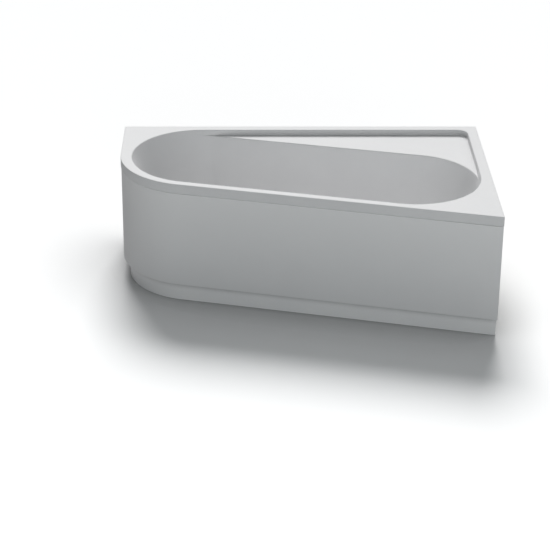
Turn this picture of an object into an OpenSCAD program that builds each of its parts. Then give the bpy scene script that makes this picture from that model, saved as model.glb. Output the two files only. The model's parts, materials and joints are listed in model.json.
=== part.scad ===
// Offset-corner bathtub with a curved one-piece panel and a recessed plinth.
// The acrylic shell stands on a steel cradle with levelling feet, and a knob on the
// overflow lifts the drain plug through a cable.
// Millimetres, +Z up, origin on the floor under the middle of the bath's plan box.
// The back and right edges stand against walls. The front edge runs at a slant, and
// places named u run along it from its right end, places named w run in from it.

/* [Rim] */
// Length of the rim along the back wall
bath_length = 1600; // [1560:10:1680]
// Width of the rim at its right-hand end
bath_width = 1000; // [970:10:1030]
// Height of the rim over the floor
rim_height = 560; // [545:5:600]
// Angle of the front edge to the back edge
front_slant = 14; // [13:0.5:15]
// Radius of the rounded front-left corner
corner_r = 342; // [325:1:350]
// Radius of the three small corners of the rim
small_corner_r = 6; // [4:1:12]
// Height of the apron that hangs down from the rim
apron_height = 42; // [36:1:50]
// Radius of the rim's outer edge
edge_r = 3; // [2:0.5:5]
// Thickness of the reinforced acrylic
shell_t = 5; // [4:0.5:6]

/* [Basin] */
// Width of the rim between the basin's round end and the left edge
left_ledge = 49; // [44:1:70]
// Width of the rim between the basin and the front edge
front_ledge = 37; // [35:1:42]
// Width of the rim along the two walls
wall_ledge = 46; // [42:1:54]
// Height of the basin's floor above the ground
floor_height = 135; // [130:1:143]
// Lean of the long sides
side_draft = 10; // [8:0.5:12]
// Half length of the floor's foot end, as a share of the basin's radius
foot_floor_share = 0.41; // [0.34:0.01:0.46]
// Half length of the floor's head end, as a share of the basin's radius
head_floor_share = 0.17; // [0.14:0.01:0.3]
// Radius between the walls and the floor, as a share of the basin's radius
floor_fillet_share = 0.3; // [0.24:0.01:0.32]
// Radius of the basin's lip
lip_r = 6; // [4:1:8]
// Fall of the floor to the drain
floor_fall = 3; // [2:0.5:4]
// Thickness of the built-up floor
floor_t = 11; // [10:0.5:14]

/* [Shelf] */
// Depth of the shelf recess behind the basin
recess_depth = 25; // [20:1:30]
// Radius of the recess's back corner
recess_corner_r = 45; // [35:1:60]
// Lean of the recess's wall
recess_draft = 4; // [2:0.5:6]
// Radius at the foot of the recess's wall
recess_foot_r = 4; // [3:0.5:6]
// Radius of the edge between shelf and basin
shelf_edge_r = 5; // [4:0.5:7]
// Gap over which the recess grows out of the basin's wall
recess_fade = 14; // [10:1:20]

/* [Front panel] */
// How far the panel's face lies inside the apron's
panel_inset = 2; // [1:0.5:4]
// Thickness of the panel
panel_t = 4; // [3:0.5:5]
// Joint between the apron and the panel
panel_joint = 2; // [1.5:0.5:4]
// Width of the panel's top, bottom and end returns
panel_return = 20; // [18:1:22]
// Height of the plinth
plinth_height = 86; // [80:1:90]
// How far the plinth lies inside the panel's face
plinth_inset = 28; // [24:1:34]
// Thickness of the plinth
plinth_t = 8; // [6:1:10]
// How far the plinth stops short of the panel's ends
plinth_end_gap = 8; // [4:1:12]

/* [Cradle] */
// Thickness of the board under the floor
board_t = 16; // [12:1:18]
// Width of the board, as a share of the flat floor's
board_share = 0.9; // [0.8:0.02:0.96]
// How far the board runs past the middle of the basin's ends
board_run_share = 0.1; // [0:0.05:0.15]
// Side of the square steel tube
rail_side = 30; // [25:1:30]
// Wall of the steel tube
rail_wall = 2; // [1.5:0.5:3]
// Distance of the left rail from the left end of the straight front
left_rail_gap = 45; // [40:1:60]
// Place of the right rail in from the right end's centre, as a share of the radius
right_rail_share = 0.13; // [0.1:0.01:0.2]
// Distance of the rails' front ends from the front edge
rail_front_w = 75; // [72:1:80]
// Distance of the front feet from the rails' front ends
front_foot_in = 35; // [32:1:45]
// Place of the back feet past the basin's axis, as a share of its radius
back_foot_share = 0.77; // [0.72:0.01:0.8]
// Overhang of a rail past its last foot
rail_end = 30; // [25:1:40]

/* [Levelling feet] */
// Radius of the threaded rod
rod_r = 5; // [4:0.5:6]
// Radius of the foot's pad
pad_r = 24; // [20:1:28]
// Height of the foot's pad
pad_height = 16; // [14:1:20]
// Height of the rod's top over the rail
rod_rise = 30; // [25:1:32]
// Height of a hexagon nut
nut_height = 8; // [6:0.5:9]
// Width of a hexagon nut over its flats
nut_flats = 17; // [15:1:19]

/* [Drain] */
// Radius of the drain hole in the shell
drain_hole_r = 26; // [25.5:0.5:27]
// Radius of the drain flange
drain_flange_r = 36; // [34:0.5:40]
// Radius of the flange's barrel
barrel_r = 24; // [23.5:0.5:25]
// Wall of the flange's barrel
barrel_wall = 3; // [2:0.5:3.5]
// Radius of the plug's cap
plug_r = 28; // [27:0.5:29]
// Radius of the plug's stem
stem_r = 4; // [3.5:0.5:4.5]
// Lift of the plug
plug_lift = 10; // [8:1:10]
// Radius of the chamber inside the waste body
chamber_r = 31; // [30:0.5:34]
// Wall of the plastic waste parts
waste_wall = 4; // [3:0.5:5]
// Radius of the 40 mm waste pipe's spigot
spigot_r = 20; // [19:0.5:21]
// Length of the trap's outlet spigot
spigot_length = 60; // [50:5:80]
// Radius of the trap's bowl
bowl_r = 38; // [36:1:44]

/* [Overflow] */
// Depth of the overflow's centre under the rim
overflow_depth = 105; // [100:1:115]
// Radius of the overflow hole in the shell
overflow_hole_r = 26; // [25.5:0.5:27]
// Radius of the overflow's plate
overflow_plate_r = 36; // [34:0.5:38]
// Radius of the knob
knob_r = 33; // [30:0.5:34]
// Height of the knob
knob_height = 12; // [10:1:14]
// Radius of the spindle
spindle_r = 5; // [4:0.5:5.5]
// Turn of the knob
knob_turn = 90; // [80:5:100]
// Radius of the overflow pipe
pipe_r = 14; // [13:0.5:14.5]
// Wall of the overflow pipe
pipe_wall = 2; // [1.5:0.5:2.5]
// Radius of the pipe's bend
pipe_bend_r = 70; // [60:5:75]
// Radius of the cable's sheath
sheath_r = 3; // [2.5:0.5:3.5]

/* [Hidden] */

// Overrun of every cut
over = 1;
// Running clearance on a radius
run_gap = 0.06;
// Loose clearance on a radius
loose_gap = 0.1;
// Gap between parts that only lie near each other
rest_gap = 0.3;
// Smallest slope and corner that the outlines keep
tiny = 0.001;
least_corner_r = 1;

// The front edge's line and its own frame
along_front = [cos(front_slant), -sin(front_slant)];
front_normal = [-sin(front_slant), -cos(front_slant)];
nose_c = [bath_length / 2 - small_corner_r, small_corner_r - bath_width / 2];
front_reach = nose_c * front_normal + small_corner_r;
front_y = -(front_reach + bath_length / 2 * sin(front_slant)) / cos(front_slant);
function front_pt(u, w) = [
    bath_length / 2 + u * cos(front_slant) + w * sin(front_slant),
    front_y - u * sin(front_slant) + w * cos(front_slant)];
module front_frame() {
    translate([bath_length / 2, front_y, 0])
        rotate([0, 0, -front_slant])
            children();
}

// The basin's plan: two round ends joined by straight sides. Its radius is what fits
// between the front, back and left edges with their ledges
basin_r = (front_reach - front_ledge
    - (bath_length / 2 - left_ledge) * sin(front_slant)
    + (bath_width / 2 - wall_ledge) * cos(front_slant))
    / (1 + cos(front_slant) - sin(front_slant));
basin_w = front_ledge + basin_r;
basin_depth = rim_height - floor_height;
floor_fillet_r = basin_r * floor_fillet_share;
right_u = -(wall_ledge + basin_r + basin_w * sin(front_slant)) / cos(front_slant);
left_u = (front_y + basin_w * cos(front_slant) - bath_width / 2 + wall_ledge + basin_r)
    / sin(front_slant);
right_c = front_pt(right_u, basin_w);
left_c = front_pt(left_u, basin_w);
drain_u = (right_u + left_u) / 2;
drain_c = front_pt(drain_u, basin_w);

// The corner arc's centre
corner_c_x = corner_r - bath_length / 2;
corner_c_u = (corner_c_x - bath_length / 2 - corner_r * sin(front_slant)) / cos(front_slant);
corner_c = front_pt(corner_c_u, corner_r);

// Outlines are lists of sides, each an outward normal and its reach, with the radius
// of the corner that follows each side
function deck_sides(inset) = [
    [1, 0, bath_length / 2 - inset],
    [0, 1, bath_width / 2 - inset],
    [-1, 0, bath_length / 2 - inset],
    [front_normal.x, front_normal.y, front_reach - inset]];
function deck_radii(inset) = [
    for (r = [small_corner_r, small_corner_r, corner_r, small_corner_r])
        max(r - inset, least_corner_r)];
recess_sides = [
    [1, 0, bath_length / 2 - wall_ledge],
    [0, 1, bath_width / 2 - wall_ledge]];
recess_radii = [recess_corner_r, recess_corner_r];

// The point that lies a distance r inside both sides
function meet(a, b, r) =
    let (d = a.x * b.y - a.y * b.x)
    [((a[2] - r) * b.y - (b[2] - r) * a.y) / d,
     (a.x * (b[2] - r) - b.x * (a[2] - r)) / d];

// How far a ray from p along n runs before it leaves an outline
function reach(p, n, sides, radii) =
    let (
        flat = min([for (s = sides)
            let (q = s.x * n.x + s.y * n.y)
            if (q > tiny) (s[2] - s.x * p.x - s.y * p.y) / q]),
        hit = p + flat * n,
        turns = [for (i = [0 : len(sides) - 1])
            let (
                a = sides[i],
                b = sides[(i + 1) % len(sides)],
                r = radii[i],
                c = meet(a, b, r),
                e = meet(a, b, 0) - c,
                m = p - c,
                q = m * n
            )
            if ((hit - c) * e > r * r) sqrt(max(0, q * q - m * m + r * r)) - q]
    )
    len(turns) > 0 ? turns[0] : flat;

// Where a rounded corner starts, peaks and ends
function corner_marks(a, b, r) =
    let (c = meet(a, b, r), na = [a.x, a.y], nb = [b.x, b.y])
    [for (n = [na, na + nb, nb]) c + r * n / norm(n)];

function bearing(c, p) =
    let (a = atan2(p.y - c.y, p.x - c.x))
    a < -90 - front_slant - tiny ? a + 360 : a;
function sorted(v) =
    len(v) < 2 ? v :
    let (pivot = v[floor(len(v) / 2)])
    concat(
        sorted([for (a = v) if (a < pivot) a]),
        [pivot],
        sorted([for (a = v) if (a > pivot) a]));
// Even steps from one angle to another, with marks that must be met exactly
function stepped(from, to, steps, marks) =
    let (
        gap = (to - from) / steps / 3,
        even = [for (i = [0 : steps]) from + (to - from) * i / steps],
        kept = [for (a = marks) if (a > from + gap && a < to - gap) a],
        clear = [for (a = even) if (a == from || a == to
            || len([for (m = kept) if (abs(m - a) < gap) m]) == 0) a]
    )
    sorted(concat(clear, kept));

end_steps = 34;
side_steps = 12;
deck = deck_sides(0);
recess_marks = concat(
    corner_marks(recess_sides[0], recess_sides[1], recess_corner_r),
    [for (share = [0.25, 0.75])
        meet(recess_sides[0], recess_sides[1], recess_corner_r)
            + recess_corner_r * [cos(90 * share), sin(90 * share)]]);
right_marks = concat(
    [0],
    [for (p = recess_marks) bearing(right_c, p)],
    [for (p = corner_marks(deck[0], deck[1], small_corner_r)) bearing(right_c, p)],
    [for (p = corner_marks(deck[3], deck[0], small_corner_r)) bearing(right_c, p)]);
left_marks = concat(
    [90],
    [for (p = corner_marks(deck[1], deck[2], small_corner_r)) bearing(left_c, p)],
    [for (p = corner_marks(deck[2], deck[3], corner_r)) bearing(left_c, p)]);

// Every station is a point of the basin's plan, its outward normal, and the gap that
// the recess leaves between the basin and the lip there
function station(c, a, recessed) =
    let (n = [cos(a), sin(a)], p = c + basin_r * n)
    [p, n, recessed ? max(0, reach(p, n, recess_sides, recess_radii)) : 0];
// Along the straight sides the stations are seen from the drain at even angles
side_span = atan((right_u - left_u) / 2 / (basin_r - fillet_c(side_draft)));
function side_share(i) =
    (1 + tan(side_span * (2 * i / side_steps - 1)) / tan(side_span)) / 2;
function side_station(from, to, a, i, recessed) =
    station(from + (to - from) * side_share(i), a, recessed);
back_angle = 90 - front_slant;
front_angle = 270 - front_slant;
stations = concat(
    [for (a = stepped(front_angle - 360, back_angle, end_steps, right_marks))
        station(right_c, a, a > 0)],
    [for (i = [1 : side_steps - 1])
        side_station(right_c, left_c, back_angle, i, true)],
    [for (a = stepped(back_angle, front_angle, end_steps, left_marks))
        station(left_c, a, a < 90)],
    [for (i = [1 : side_steps - 1])
        side_station(left_c, right_c, front_angle, i, false)]);

quarter = [0, 45, 90];
fillet_steps = 6;
// Step down of the shelf's underside towards the basin, and its length
shelf_taper = 8;
shelf_taper_run = 20;

// One station's section, from the apron's outer foot over the rim, the lip, the recess
// and the basin's wall to the floor: how far out from the basin's plan, how deep
function fillet_c(draft) =
    (basin_depth - floor_fillet_r) * tan(draft) + floor_fillet_r / cos(draft);
// The floor ends in half ellipses, and the draft at a normal is what meets them, so the
// end walls lean more than the sides
function floor_reach(n) =
    let (
        q = n * along_front,
        end = basin_r * (q > 0 ? foot_floor_share : head_floor_share),
        side = basin_r - fillet_c(side_draft)
    )
    1 / sqrt(q * q / end / end + (1 - q * q) / side / side);
function draft_at(n) =
    let (
        inner = basin_r - floor_reach(n),
        depth = basin_depth - floor_fillet_r
    )
    acos(floor_fillet_r / norm([inner, depth])) - atan(depth / inner);
function upper_section(s) =
    let (
        p = s[0],
        n = s[1],
        gap = s[2],
        draft = draft_at(n),
        k = min(1, gap / recess_fade),
        lip_draft = draft + k * (recess_draft - draft),
        inner = fillet_c(draft),
        mid_depth = (recess_depth + basin_depth - floor_fillet_r) / 2
    )
    concat(
        [[reach(p, n, deck_sides(0), deck_radii(0)), apron_height]],
        [for (a = quarter)
            let (i = edge_r * (1 - cos(a)))
            [reach(p, n, deck_sides(i), deck_radii(i)), edge_r * (1 - sin(a))]],
        [for (a = quarter)
            [gap - lip_r * tan(lip_draft) + lip_r * (1 - sin(a)), lip_r * (1 - cos(a))]],
        [for (a = quarter)
            let (d = recess_depth - recess_foot_r * (1 - sin(a)))
            [gap - d * tan(lip_draft) - k * recess_foot_r * (1 - cos(a)), d]],
        [for (i = [0 : len(quarter) - 1])
            let (
                a = quarter[i],
                fall = (1 - k) * (i + 1) / len(quarter) + k * (1 - cos(a)),
                d = recess_depth + shelf_edge_r * fall
            )
            [k * shelf_edge_r * (1 - sin(a)) - d * tan(draft), d]],
        [[-mid_depth * tan(draft), mid_depth]],
        [for (i = [0 : fillet_steps])
            let (a = draft + (90 - draft) * i / fillet_steps)
            [floor_fillet_r * cos(a) - inner, basin_depth - floor_fillet_r * (1 - sin(a))]]);

// The same station's underside, from the floor back out to the apron's inner foot
function lower_section(s) =
    let (
        p = s[0],
        n = s[1],
        gap = s[2],
        draft = draft_at(n),
        k = min(1, gap / recess_fade),
        lip_draft = draft + k * (recess_draft - draft),
        inner = fillet_c(draft),
        shelf_low = recess_depth + shell_t + shelf_taper,
        shelf_high = recess_depth + shell_t,
        back = reach(p, n, deck_sides(shell_t), deck_radii(shell_t))
    )
    concat(
        [for (i = [0 : fillet_steps])
            let (a = 90 - (90 - draft) * i / fillet_steps)
            [(floor_fillet_r + shell_t) * cos(a) - inner,
             basin_depth - floor_fillet_r * (1 - sin(a)) + sin(a)
                * (shell_t + (floor_t - shell_t) * (a - draft) / (90 - draft))]],
        [[shell_t / cos(draft) - shelf_low * tan(draft), shelf_low]],
        [let (d = shelf_high + (1 - k) * shelf_taper / 2)
            [min(gap / 2, shelf_taper_run) + shell_t / cos(draft) - d * tan(draft), d]],
        [for (d = [shelf_high, shell_t])
            [gap + shell_t / cos(lip_draft) - d * tan(lip_draft), d]],
        [[back, shell_t]],
        [[back, apron_height]]);

// The drain's place on the sloping floor
drain_z = rim_height - basin_depth - floor_fall;
drain_step = 3;
drain_rim_gap = 2;
floor_under_z = rim_height - basin_depth - floor_t;
function ring_points(section, i) = [
    for (j = [0 : len(stations) - 1])
        let (q = stations[j][0] + section[j][i][0] * stations[j][1])
        [q.x, q.y, rim_height - section[j][i][1]]];
function drain_points(r, z) = [
    for (s = stations)
        let (
            q = s[0] - fillet_c(draft_at(s[1])) * s[1] - drain_c,
            e = q / norm(q)
        )
        [drain_c.x + r * e.x, drain_c.y + r * e.y, z]];
upper = [for (s = stations) upper_section(s)];
lower = [for (s = stations) lower_section(s)];
shell_rings = concat(
    [for (i = [0 : len(upper[0]) - 1]) ring_points(upper, i)],
    [drain_points(drain_flange_r + drain_rim_gap * 2, drain_z),
     drain_points(drain_flange_r + drain_rim_gap, drain_z - drain_step),
     drain_points(drain_hole_r / 2, drain_z - drain_step),
     drain_points(drain_hole_r / 2, floor_under_z)],
    [for (i = [0 : len(lower[0]) - 1]) ring_points(lower, i)]);

// A closed band of rings whose last ring joins its first
module ring_band(rings) {
    m = len(rings);
    n = len(rings[0]);
    polyhedron(
        points = [for (r = rings) each r],
        faces = [for (i = [0 : m - 1], j = [0 : n - 1])
            let (
                a = i * n + j,
                b = i * n + (j + 1) % n,
                c = (i + 1) % m * n + (j + 1) % n,
                d = (i + 1) % m * n + j
            )
            each [[a, d, b], [b, d, c]]]);
}

// Place of a part that is given along and in from the front edge
module at(u, w, z = 0) {
    translate([u, w, z])
        children();
}
module drain_frame() {
    front_frame()
        at(drain_u, basin_w)
            children();
}
// On the overflow: +X along the front, +Y down the wall, +Z into the basin
overflow_w = front_ledge + overflow_depth * tan(side_draft);
overflow_z = rim_height - overflow_depth;
module overflow_frame() {
    front_frame()
        at(drain_u, overflow_w, overflow_z)
            rotate([side_draft - 90, 0, 0])
                children();
}
// A ring round the Z axis
module ring(r_out, r_in, z, h) {
    translate([0, 0, z])
        difference() {
            cylinder(h = h, r = r_out, $fn = 96);
            translate([0, 0, -over])
                cylinder(h = h + 2 * over, r = r_in, $fn = 96);
        }
}
module rod(r, z, h) {
    translate([0, 0, z])
        cylinder(h = h, r = r, $fn = 64);
}
// A lying cylinder along X, and one along Y
module rod_x(r, x, l) {
    translate([x, 0, 0])
        rotate([0, 90, 0])
            cylinder(h = l, r = r, $fn = 64);
}
module rod_y(r, y, l) {
    translate([0, y, 0])
        rotate([-90, 0, 0])
            cylinder(h = l, r = r, $fn = 64);
}
module hexagon(flats, z, h) {
    translate([0, 0, z])
        rotate([0, 0, 30])
            cylinder(h = h, r = flats / 2 / cos(30), $fn = 6);
}
module box(low, high) {
    translate(low)
        cube(high - low);
}

module bath_shell() {
    color("white")
        difference() {
            ring_band(shell_rings);
            drain_frame()
                rod(drain_hole_r, floor_under_z - over, drain_z - floor_under_z + 2 * over);
            overflow_frame()
                rod(overflow_hole_r, -shell_t * 2, shell_t * 3);
        }
}

// The cradle's heights, from the shell's floor down
board_z = floor_under_z - board_t;
rail_z = board_z - rail_side;
left_rail_u = corner_c_u + left_rail_gap;
right_rail_u = right_u - basin_r * right_rail_share;
// The shelf post stands midway between the basin and the back wall
back_wall_w = (bath_width / 2 - front_y + right_rail_u * sin(front_slant))
    / cos(front_slant);
post_w = (basin_w + basin_r + back_wall_w) / 2;
board_hole_clear = 18;
board_hole_r = drain_flange_r + board_hole_clear;
board_width = 2 * board_share * (basin_r - fillet_c(side_draft));
front_foot_w = rail_front_w + front_foot_in;
back_foot_w = basin_w + basin_r * back_foot_share;
module baseboard() {
    run = basin_r * board_run_share;
    color("burlywood")
        front_frame()
            difference() {
                union() {
                    box([left_u - run + board_width / 2, basin_w - board_width / 2, board_z],
                        [right_u + run - board_width / 2, basin_w + board_width / 2,
                         floor_under_z]);
                    for (u = [left_u - run + board_width / 2, right_u + run - board_width / 2])
                        at(u, basin_w)
                            translate([0, 0, board_z])
                                cylinder(h = board_t, r = board_width / 2, $fn = 96);
                }
                at(drain_u, basin_w)
                    rod(board_hole_r, board_z - over, board_t + 2 * over);
                at_board_screws()
                    rod(screw_r, board_z - over, screw_bite + over);
            }
}

// Square tube with the holes of its feet, tabs that carry the board, and the hole of
// the plinth's bracket. The tabs lie on the side that faces the drain.
rod_hole_r = rod_r + loose_gap;
tab_side = 26;
tab_t = 3;
tab_ws = [-board_width / 3, board_width / 3];
bracket_screw_in = 10;
bracket_screw_w = rail_front_w + bracket_screw_in;
module cross_rail(u, side, back_w, feet) {
    tab_u = side > 0 ? rail_side / 2 : -rail_side / 2 - tab_side;
    front_frame()
        at(u, 0)
            difference() {
                union() {
                    box([-rail_side / 2, rail_front_w, rail_z],
                        [rail_side / 2, back_w, rail_z + rail_side]);
                    for (w = tab_ws)
                        box([tab_u, basin_w + w - tab_side / 2, board_z - tab_t],
                            [tab_u + tab_side, basin_w + w + tab_side / 2, board_z]);
                }
                box([rail_wall - rail_side / 2, rail_front_w - over, rail_z + rail_wall],
                    [rail_side / 2 - rail_wall, back_w + over,
                     rail_z + rail_side - rail_wall]);
                for (w = feet)
                    at(0, w)
                        rod(rod_hole_r, rail_z - over, rail_side + 2 * over);
                at(0, bracket_screw_w)
                    rod(screw_r, rail_z - over, rail_wall + 2 * over);
                for (w = tab_ws)
                    at(tab_u + tab_side / 2, basin_w + w)
                        rod(screw_r, board_z - tab_t - over, tab_t + 2 * over);
            }
}
module cross_rail_left() {
    color("dimgray")
        cross_rail(left_rail_u, 1, back_foot_w + rail_end, [front_foot_w, back_foot_w]);
}
module cross_rail_right() {
    color("dimgray")
        cross_rail(right_rail_u, -1, post_w + rail_end,
            [front_foot_w, back_foot_w, post_w]);
}
// Places of the screws that hold the board to the tabs
module at_board_screws() {
    for (end = [[left_rail_u, 1], [right_rail_u, -1]], w = tab_ws)
        at(end[0] + end[1] * (rail_side + tab_side) / 2, basin_w + w)
            children();
}

// Plywood blocks bonded under the rim and the shelf
block_t = 18;
block_length = 70;
rim_under_z = rim_height - shell_t;
shelf_under_z = rim_under_z - recess_depth;
right_clip_share = 0.27;
middle_clip_share = 0.25;
left_clip_share = 0.66;
clip_us = [
    right_u * right_clip_share,
    right_u + (left_u - right_u) * middle_clip_share,
    right_u + (left_u - right_u) * left_clip_share];
clip_left_y = (corner_c.y + bath_width / 2) / 2;
block_off = 1;
clip_block_w = shell_t + block_off;
clip_block_depth = 24;
wall_block_depth = 26;
strap_share = 0.2;
strap_xs = [-bath_length * strap_share, bath_length * strap_share];
strap_side_y = -bath_width * strap_share;
post_head = 70;
post_head_t = 4;
post_screw_x = 25;
post_screw_xs = [-post_screw_x, post_screw_x];
block_screw_x = 12;
block_screw_xs = [-block_screw_x, block_screw_x];
block_screw_w = 20;
// Places along the rim's inner face: front clips, the left clip, straps at the walls
module along_clips() {
    front_frame()
        for (u = clip_us)
            at(u, 0)
                children();
    translate([-bath_length / 2, clip_left_y, 0])
        rotate([0, 0, -90])
            children();
}
module along_walls() {
    for (x = strap_xs)
        translate([x, bath_width / 2, 0])
            rotate([0, 0, 180])
                children();
    translate([bath_length / 2, strap_side_y, 0])
        rotate([0, 0, 90])
            children();
}
module rim_block(depth, screw_w) {
    difference() {
        box([-block_length / 2, clip_block_w, rim_under_z - block_t],
            [block_length / 2, clip_block_w + depth, rim_under_z]);
        for (x = block_screw_xs)
            at(x, screw_w)
                rod(screw_r, rim_under_z - block_t - over, screw_bite + over);
    }
}
module rim_blocks() {
    color("tan") {
        along_clips()
            rim_block(clip_block_depth, clip_screw_w);
        along_walls()
            rim_block(wall_block_depth, block_screw_w);
        front_frame()
            at(right_rail_u, post_w)
                difference() {
                    box([-post_head / 2, -post_head / 2, shelf_under_z - block_t],
                        [post_head / 2, post_head / 2, shelf_under_z]);
                    for (x = post_screw_xs)
                        at(x, 0)
                            rod(screw_r, shelf_under_z - block_t - over, screw_bite + over);
                }
    }
}
module shelf_post() {
    top = shelf_under_z - block_t;
    foot = rail_z + rail_side;
    color("dimgray")
        front_frame()
            at(right_rail_u, post_w) {
                difference() {
                    box([-post_head / 2, -post_head / 2, top - post_head_t],
                        [post_head / 2, post_head / 2, top]);
                    for (x = post_screw_xs)
                        at(x, 0)
                            rod(screw_r, top - post_head_t - over, post_head_t + 2 * over);
                }
                difference() {
                    box([-rail_side / 2, -rail_side / 2, foot],
                        [rail_side / 2, rail_side / 2, top - post_head_t]);
                    box([rail_wall - rail_side / 2, rail_wall - rail_side / 2, foot - over],
                        [rail_side / 2 - rail_wall, rail_side / 2 - rail_wall,
                         top - post_head_t]);
                }
            }
}

// Plastic caps in the open ends of the rails
cap_plug = 6;
cap_head = 3;
module rail_end_caps() {
    inner = rail_side / 2 - rail_wall - loose_gap;
    color("black")
        front_frame()
            for (end = [[left_rail_u, rail_front_w, 1], [right_rail_u, rail_front_w, 1],
                    [left_rail_u, back_foot_w + rail_end, -1],
                    [right_rail_u, post_w + rail_end, -1]])
                at(end[0], end[1], rail_z + rail_side / 2)
                    rotate([0, 0, end[2] > 0 ? 0 : 180]) {
                        box([-rail_side / 2, -cap_head, -rail_side / 2],
                            [rail_side / 2, 0, rail_side / 2]);
                        box([-inner, 0, -inner], [inner, cap_plug, inner]);
                    }
}

// Pan-head screw whose head lies under a plate of thickness t at height z
screw_r = 2.5;
screw_head_r = 4.5;
screw_head = 3;
screw_bite = 12;
module screw_up(z, t) {
    rod(screw_head_r, z - t - screw_head, screw_head);
    rod(screw_r, z - t - tiny, t + screw_bite);
}
module frame_screws() {
    color("silver")
        front_frame() {
            at_board_screws()
                screw_up(board_z, tab_t);
            for (x = post_screw_xs)
                at(right_rail_u + x, post_w)
                    screw_up(shelf_under_z - block_t, post_head_t);
            for (u = [left_rail_u, right_rail_u])
                at(u, bracket_screw_w)
                    screw_up(rail_z, strap_t);
        }
}

strap_t = 3;

// Levelling feet: threaded rod, pad and the nuts that hold the rail
feet = [[left_rail_u, front_foot_w], [left_rail_u, back_foot_w],
    [right_rail_u, front_foot_w], [right_rail_u, back_foot_w], [right_rail_u, post_w]];
post_foot = 4;
pad_socket = 8;
module foot_rod(i) {
    color("silver")
        front_frame()
            at(feet[i].x, feet[i].y)
                rod(rod_r, pad_height - pad_socket, rail_z + rail_side + rod_rise
                    - pad_height + pad_socket);
}
module foot_pad(i) {
    color("black")
        front_frame()
            at(feet[i].x, feet[i].y)
                rotate_extrude($fn = 64)
                    polygon([[0, 0], [pad_r, 0], [pad_r, pad_height / 4],
                        [pad_r / 2, pad_height / 2], [pad_r / 2, pad_height],
                        [rod_r, pad_height], [rod_r, pad_height - pad_socket],
                        [0, pad_height - pad_socket]]);
}
module foot_rod_1() foot_rod(0);
module foot_rod_2() foot_rod(1);
module foot_rod_3() foot_rod(2);
module foot_rod_4() foot_rod(3);
module foot_rod_5() foot_rod(4);
module foot_pad_1() foot_pad(0);
module foot_pad_2() foot_pad(1);
module foot_pad_3() foot_pad(2);
module foot_pad_4() foot_pad(3);
module foot_pad_5() foot_pad(4);
module foot_nuts() {
    color("silver")
        front_frame()
            for (i = [0 : len(feet) - 1])
                at(feet[i].x, feet[i].y)
                    for (z = i == post_foot ? [rail_z - nut_height]
                            : [rail_z - nut_height, rail_z + rail_side])
                        difference() {
                            hexagon(nut_flats, z, nut_height);
                            rod(rod_hole_r, z - over, nut_height + 2 * over);
                        }
}

// Upright wall inside the rim's front and left edges, from the distance outer to the
// distance inner, stopping short of the walls: a straight front, the corner, and a side
function front_line(x, g) =
    [x, -(front_reach - g + x * sin(front_slant)) / cos(front_slant)];
module curved_wall(outer, inner, z, h, end_gap) {
    right = bath_length / 2 - end_gap;
    back = bath_width / 2 - end_gap;
    left = -bath_length / 2;
    middle = (outer + inner) / 2;
    function on_corner(g) = corner_c + (corner_r - g) * front_normal;
    // Both straight runs end in a point inside the corner, which makes one body of them
    translate([0, 0, z]) {
        linear_extrude(h)
            polygon([on_corner(outer), front_line(right, outer), front_line(right, inner),
                on_corner(inner), on_corner(middle) - over * along_front]);
        translate(corner_c)
            rotate([0, 0, 180])
                rotate_extrude(angle = 90 - front_slant, $fn = 360)
                    translate([corner_r - inner, 0])
                        square([inner - outer, h]);
        linear_extrude(h)
            polygon([[left + outer, corner_c.y], [left + middle, corner_c.y - over],
                [left + inner, corner_c.y], [left + inner, back], [left + outer, back]]);
    }
}
panel_top_z = rim_height - apron_height - panel_joint;
module front_panel() {
    in = panel_inset + panel_return;
    right = bath_length / 2 - panel_inset;
    foot_in = panel_inset + plinth_inset + plinth_t + panel_t;
    color("white") {
        curved_wall(panel_inset, panel_inset + panel_t, plinth_height,
            panel_top_z - plinth_height, panel_inset);
        curved_wall(panel_inset, in, panel_top_z - panel_t, panel_t, panel_inset);
        curved_wall(panel_inset, foot_in, plinth_height, panel_t, panel_inset);
        translate([0, 0, plinth_height])
            linear_extrude(panel_top_z - plinth_height) {
                polygon([front_line(right - panel_t, panel_inset),
                    front_line(right, panel_inset), front_line(right, in),
                    front_line(right - panel_t, in)]);
                translate([panel_inset - bath_length / 2,
                    bath_width / 2 - panel_inset - panel_t])
                    square([panel_return, panel_t]);
            }
    }
}
module plinth() {
    face = panel_inset + plinth_inset;
    color("gainsboro")
        curved_wall(face, face + plinth_t, 0, plinth_height, panel_inset + plinth_end_gap);
}

// Spring clips that grip the panel's top return from behind
clip_width = 40;
clip_t = 3;
module panel_clips() {
    back = panel_inset + panel_return + loose_gap;
    top = rim_under_z - block_t;
    low = panel_top_z - panel_t - rest_gap;
    high = panel_top_z + rest_gap;
    color("ghostwhite")
        along_clips()
            difference() {
                union() {
                    box([-clip_width / 2, clip_block_w + clip_t, top - clip_t],
                        [clip_width / 2, clip_block_w + clip_block_depth, top]);
                    box([-clip_width / 2, back, low - clip_t],
                        [clip_width / 2, back + clip_t, top]);
                    box([-clip_width / 2, back - panel_return / 2, low - clip_t],
                        [clip_width / 2, back + clip_t, low]);
                    box([-clip_width / 2, back - panel_return / 2, high],
                        [clip_width / 2, back + clip_t, high + clip_t]);
                }
                for (x = block_screw_xs)
                    at(x, clip_screw_w)
                        rod(screw_r, top - clip_t - over, clip_t + 2 * over);
            }
}
clip_screw_w = 15;
module clip_screws() {
    color("silver")
        along_clips()
            for (x = block_screw_xs)
                at(x, clip_screw_w)
                    screw_up(rim_under_z - block_t, clip_t);
}
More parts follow.
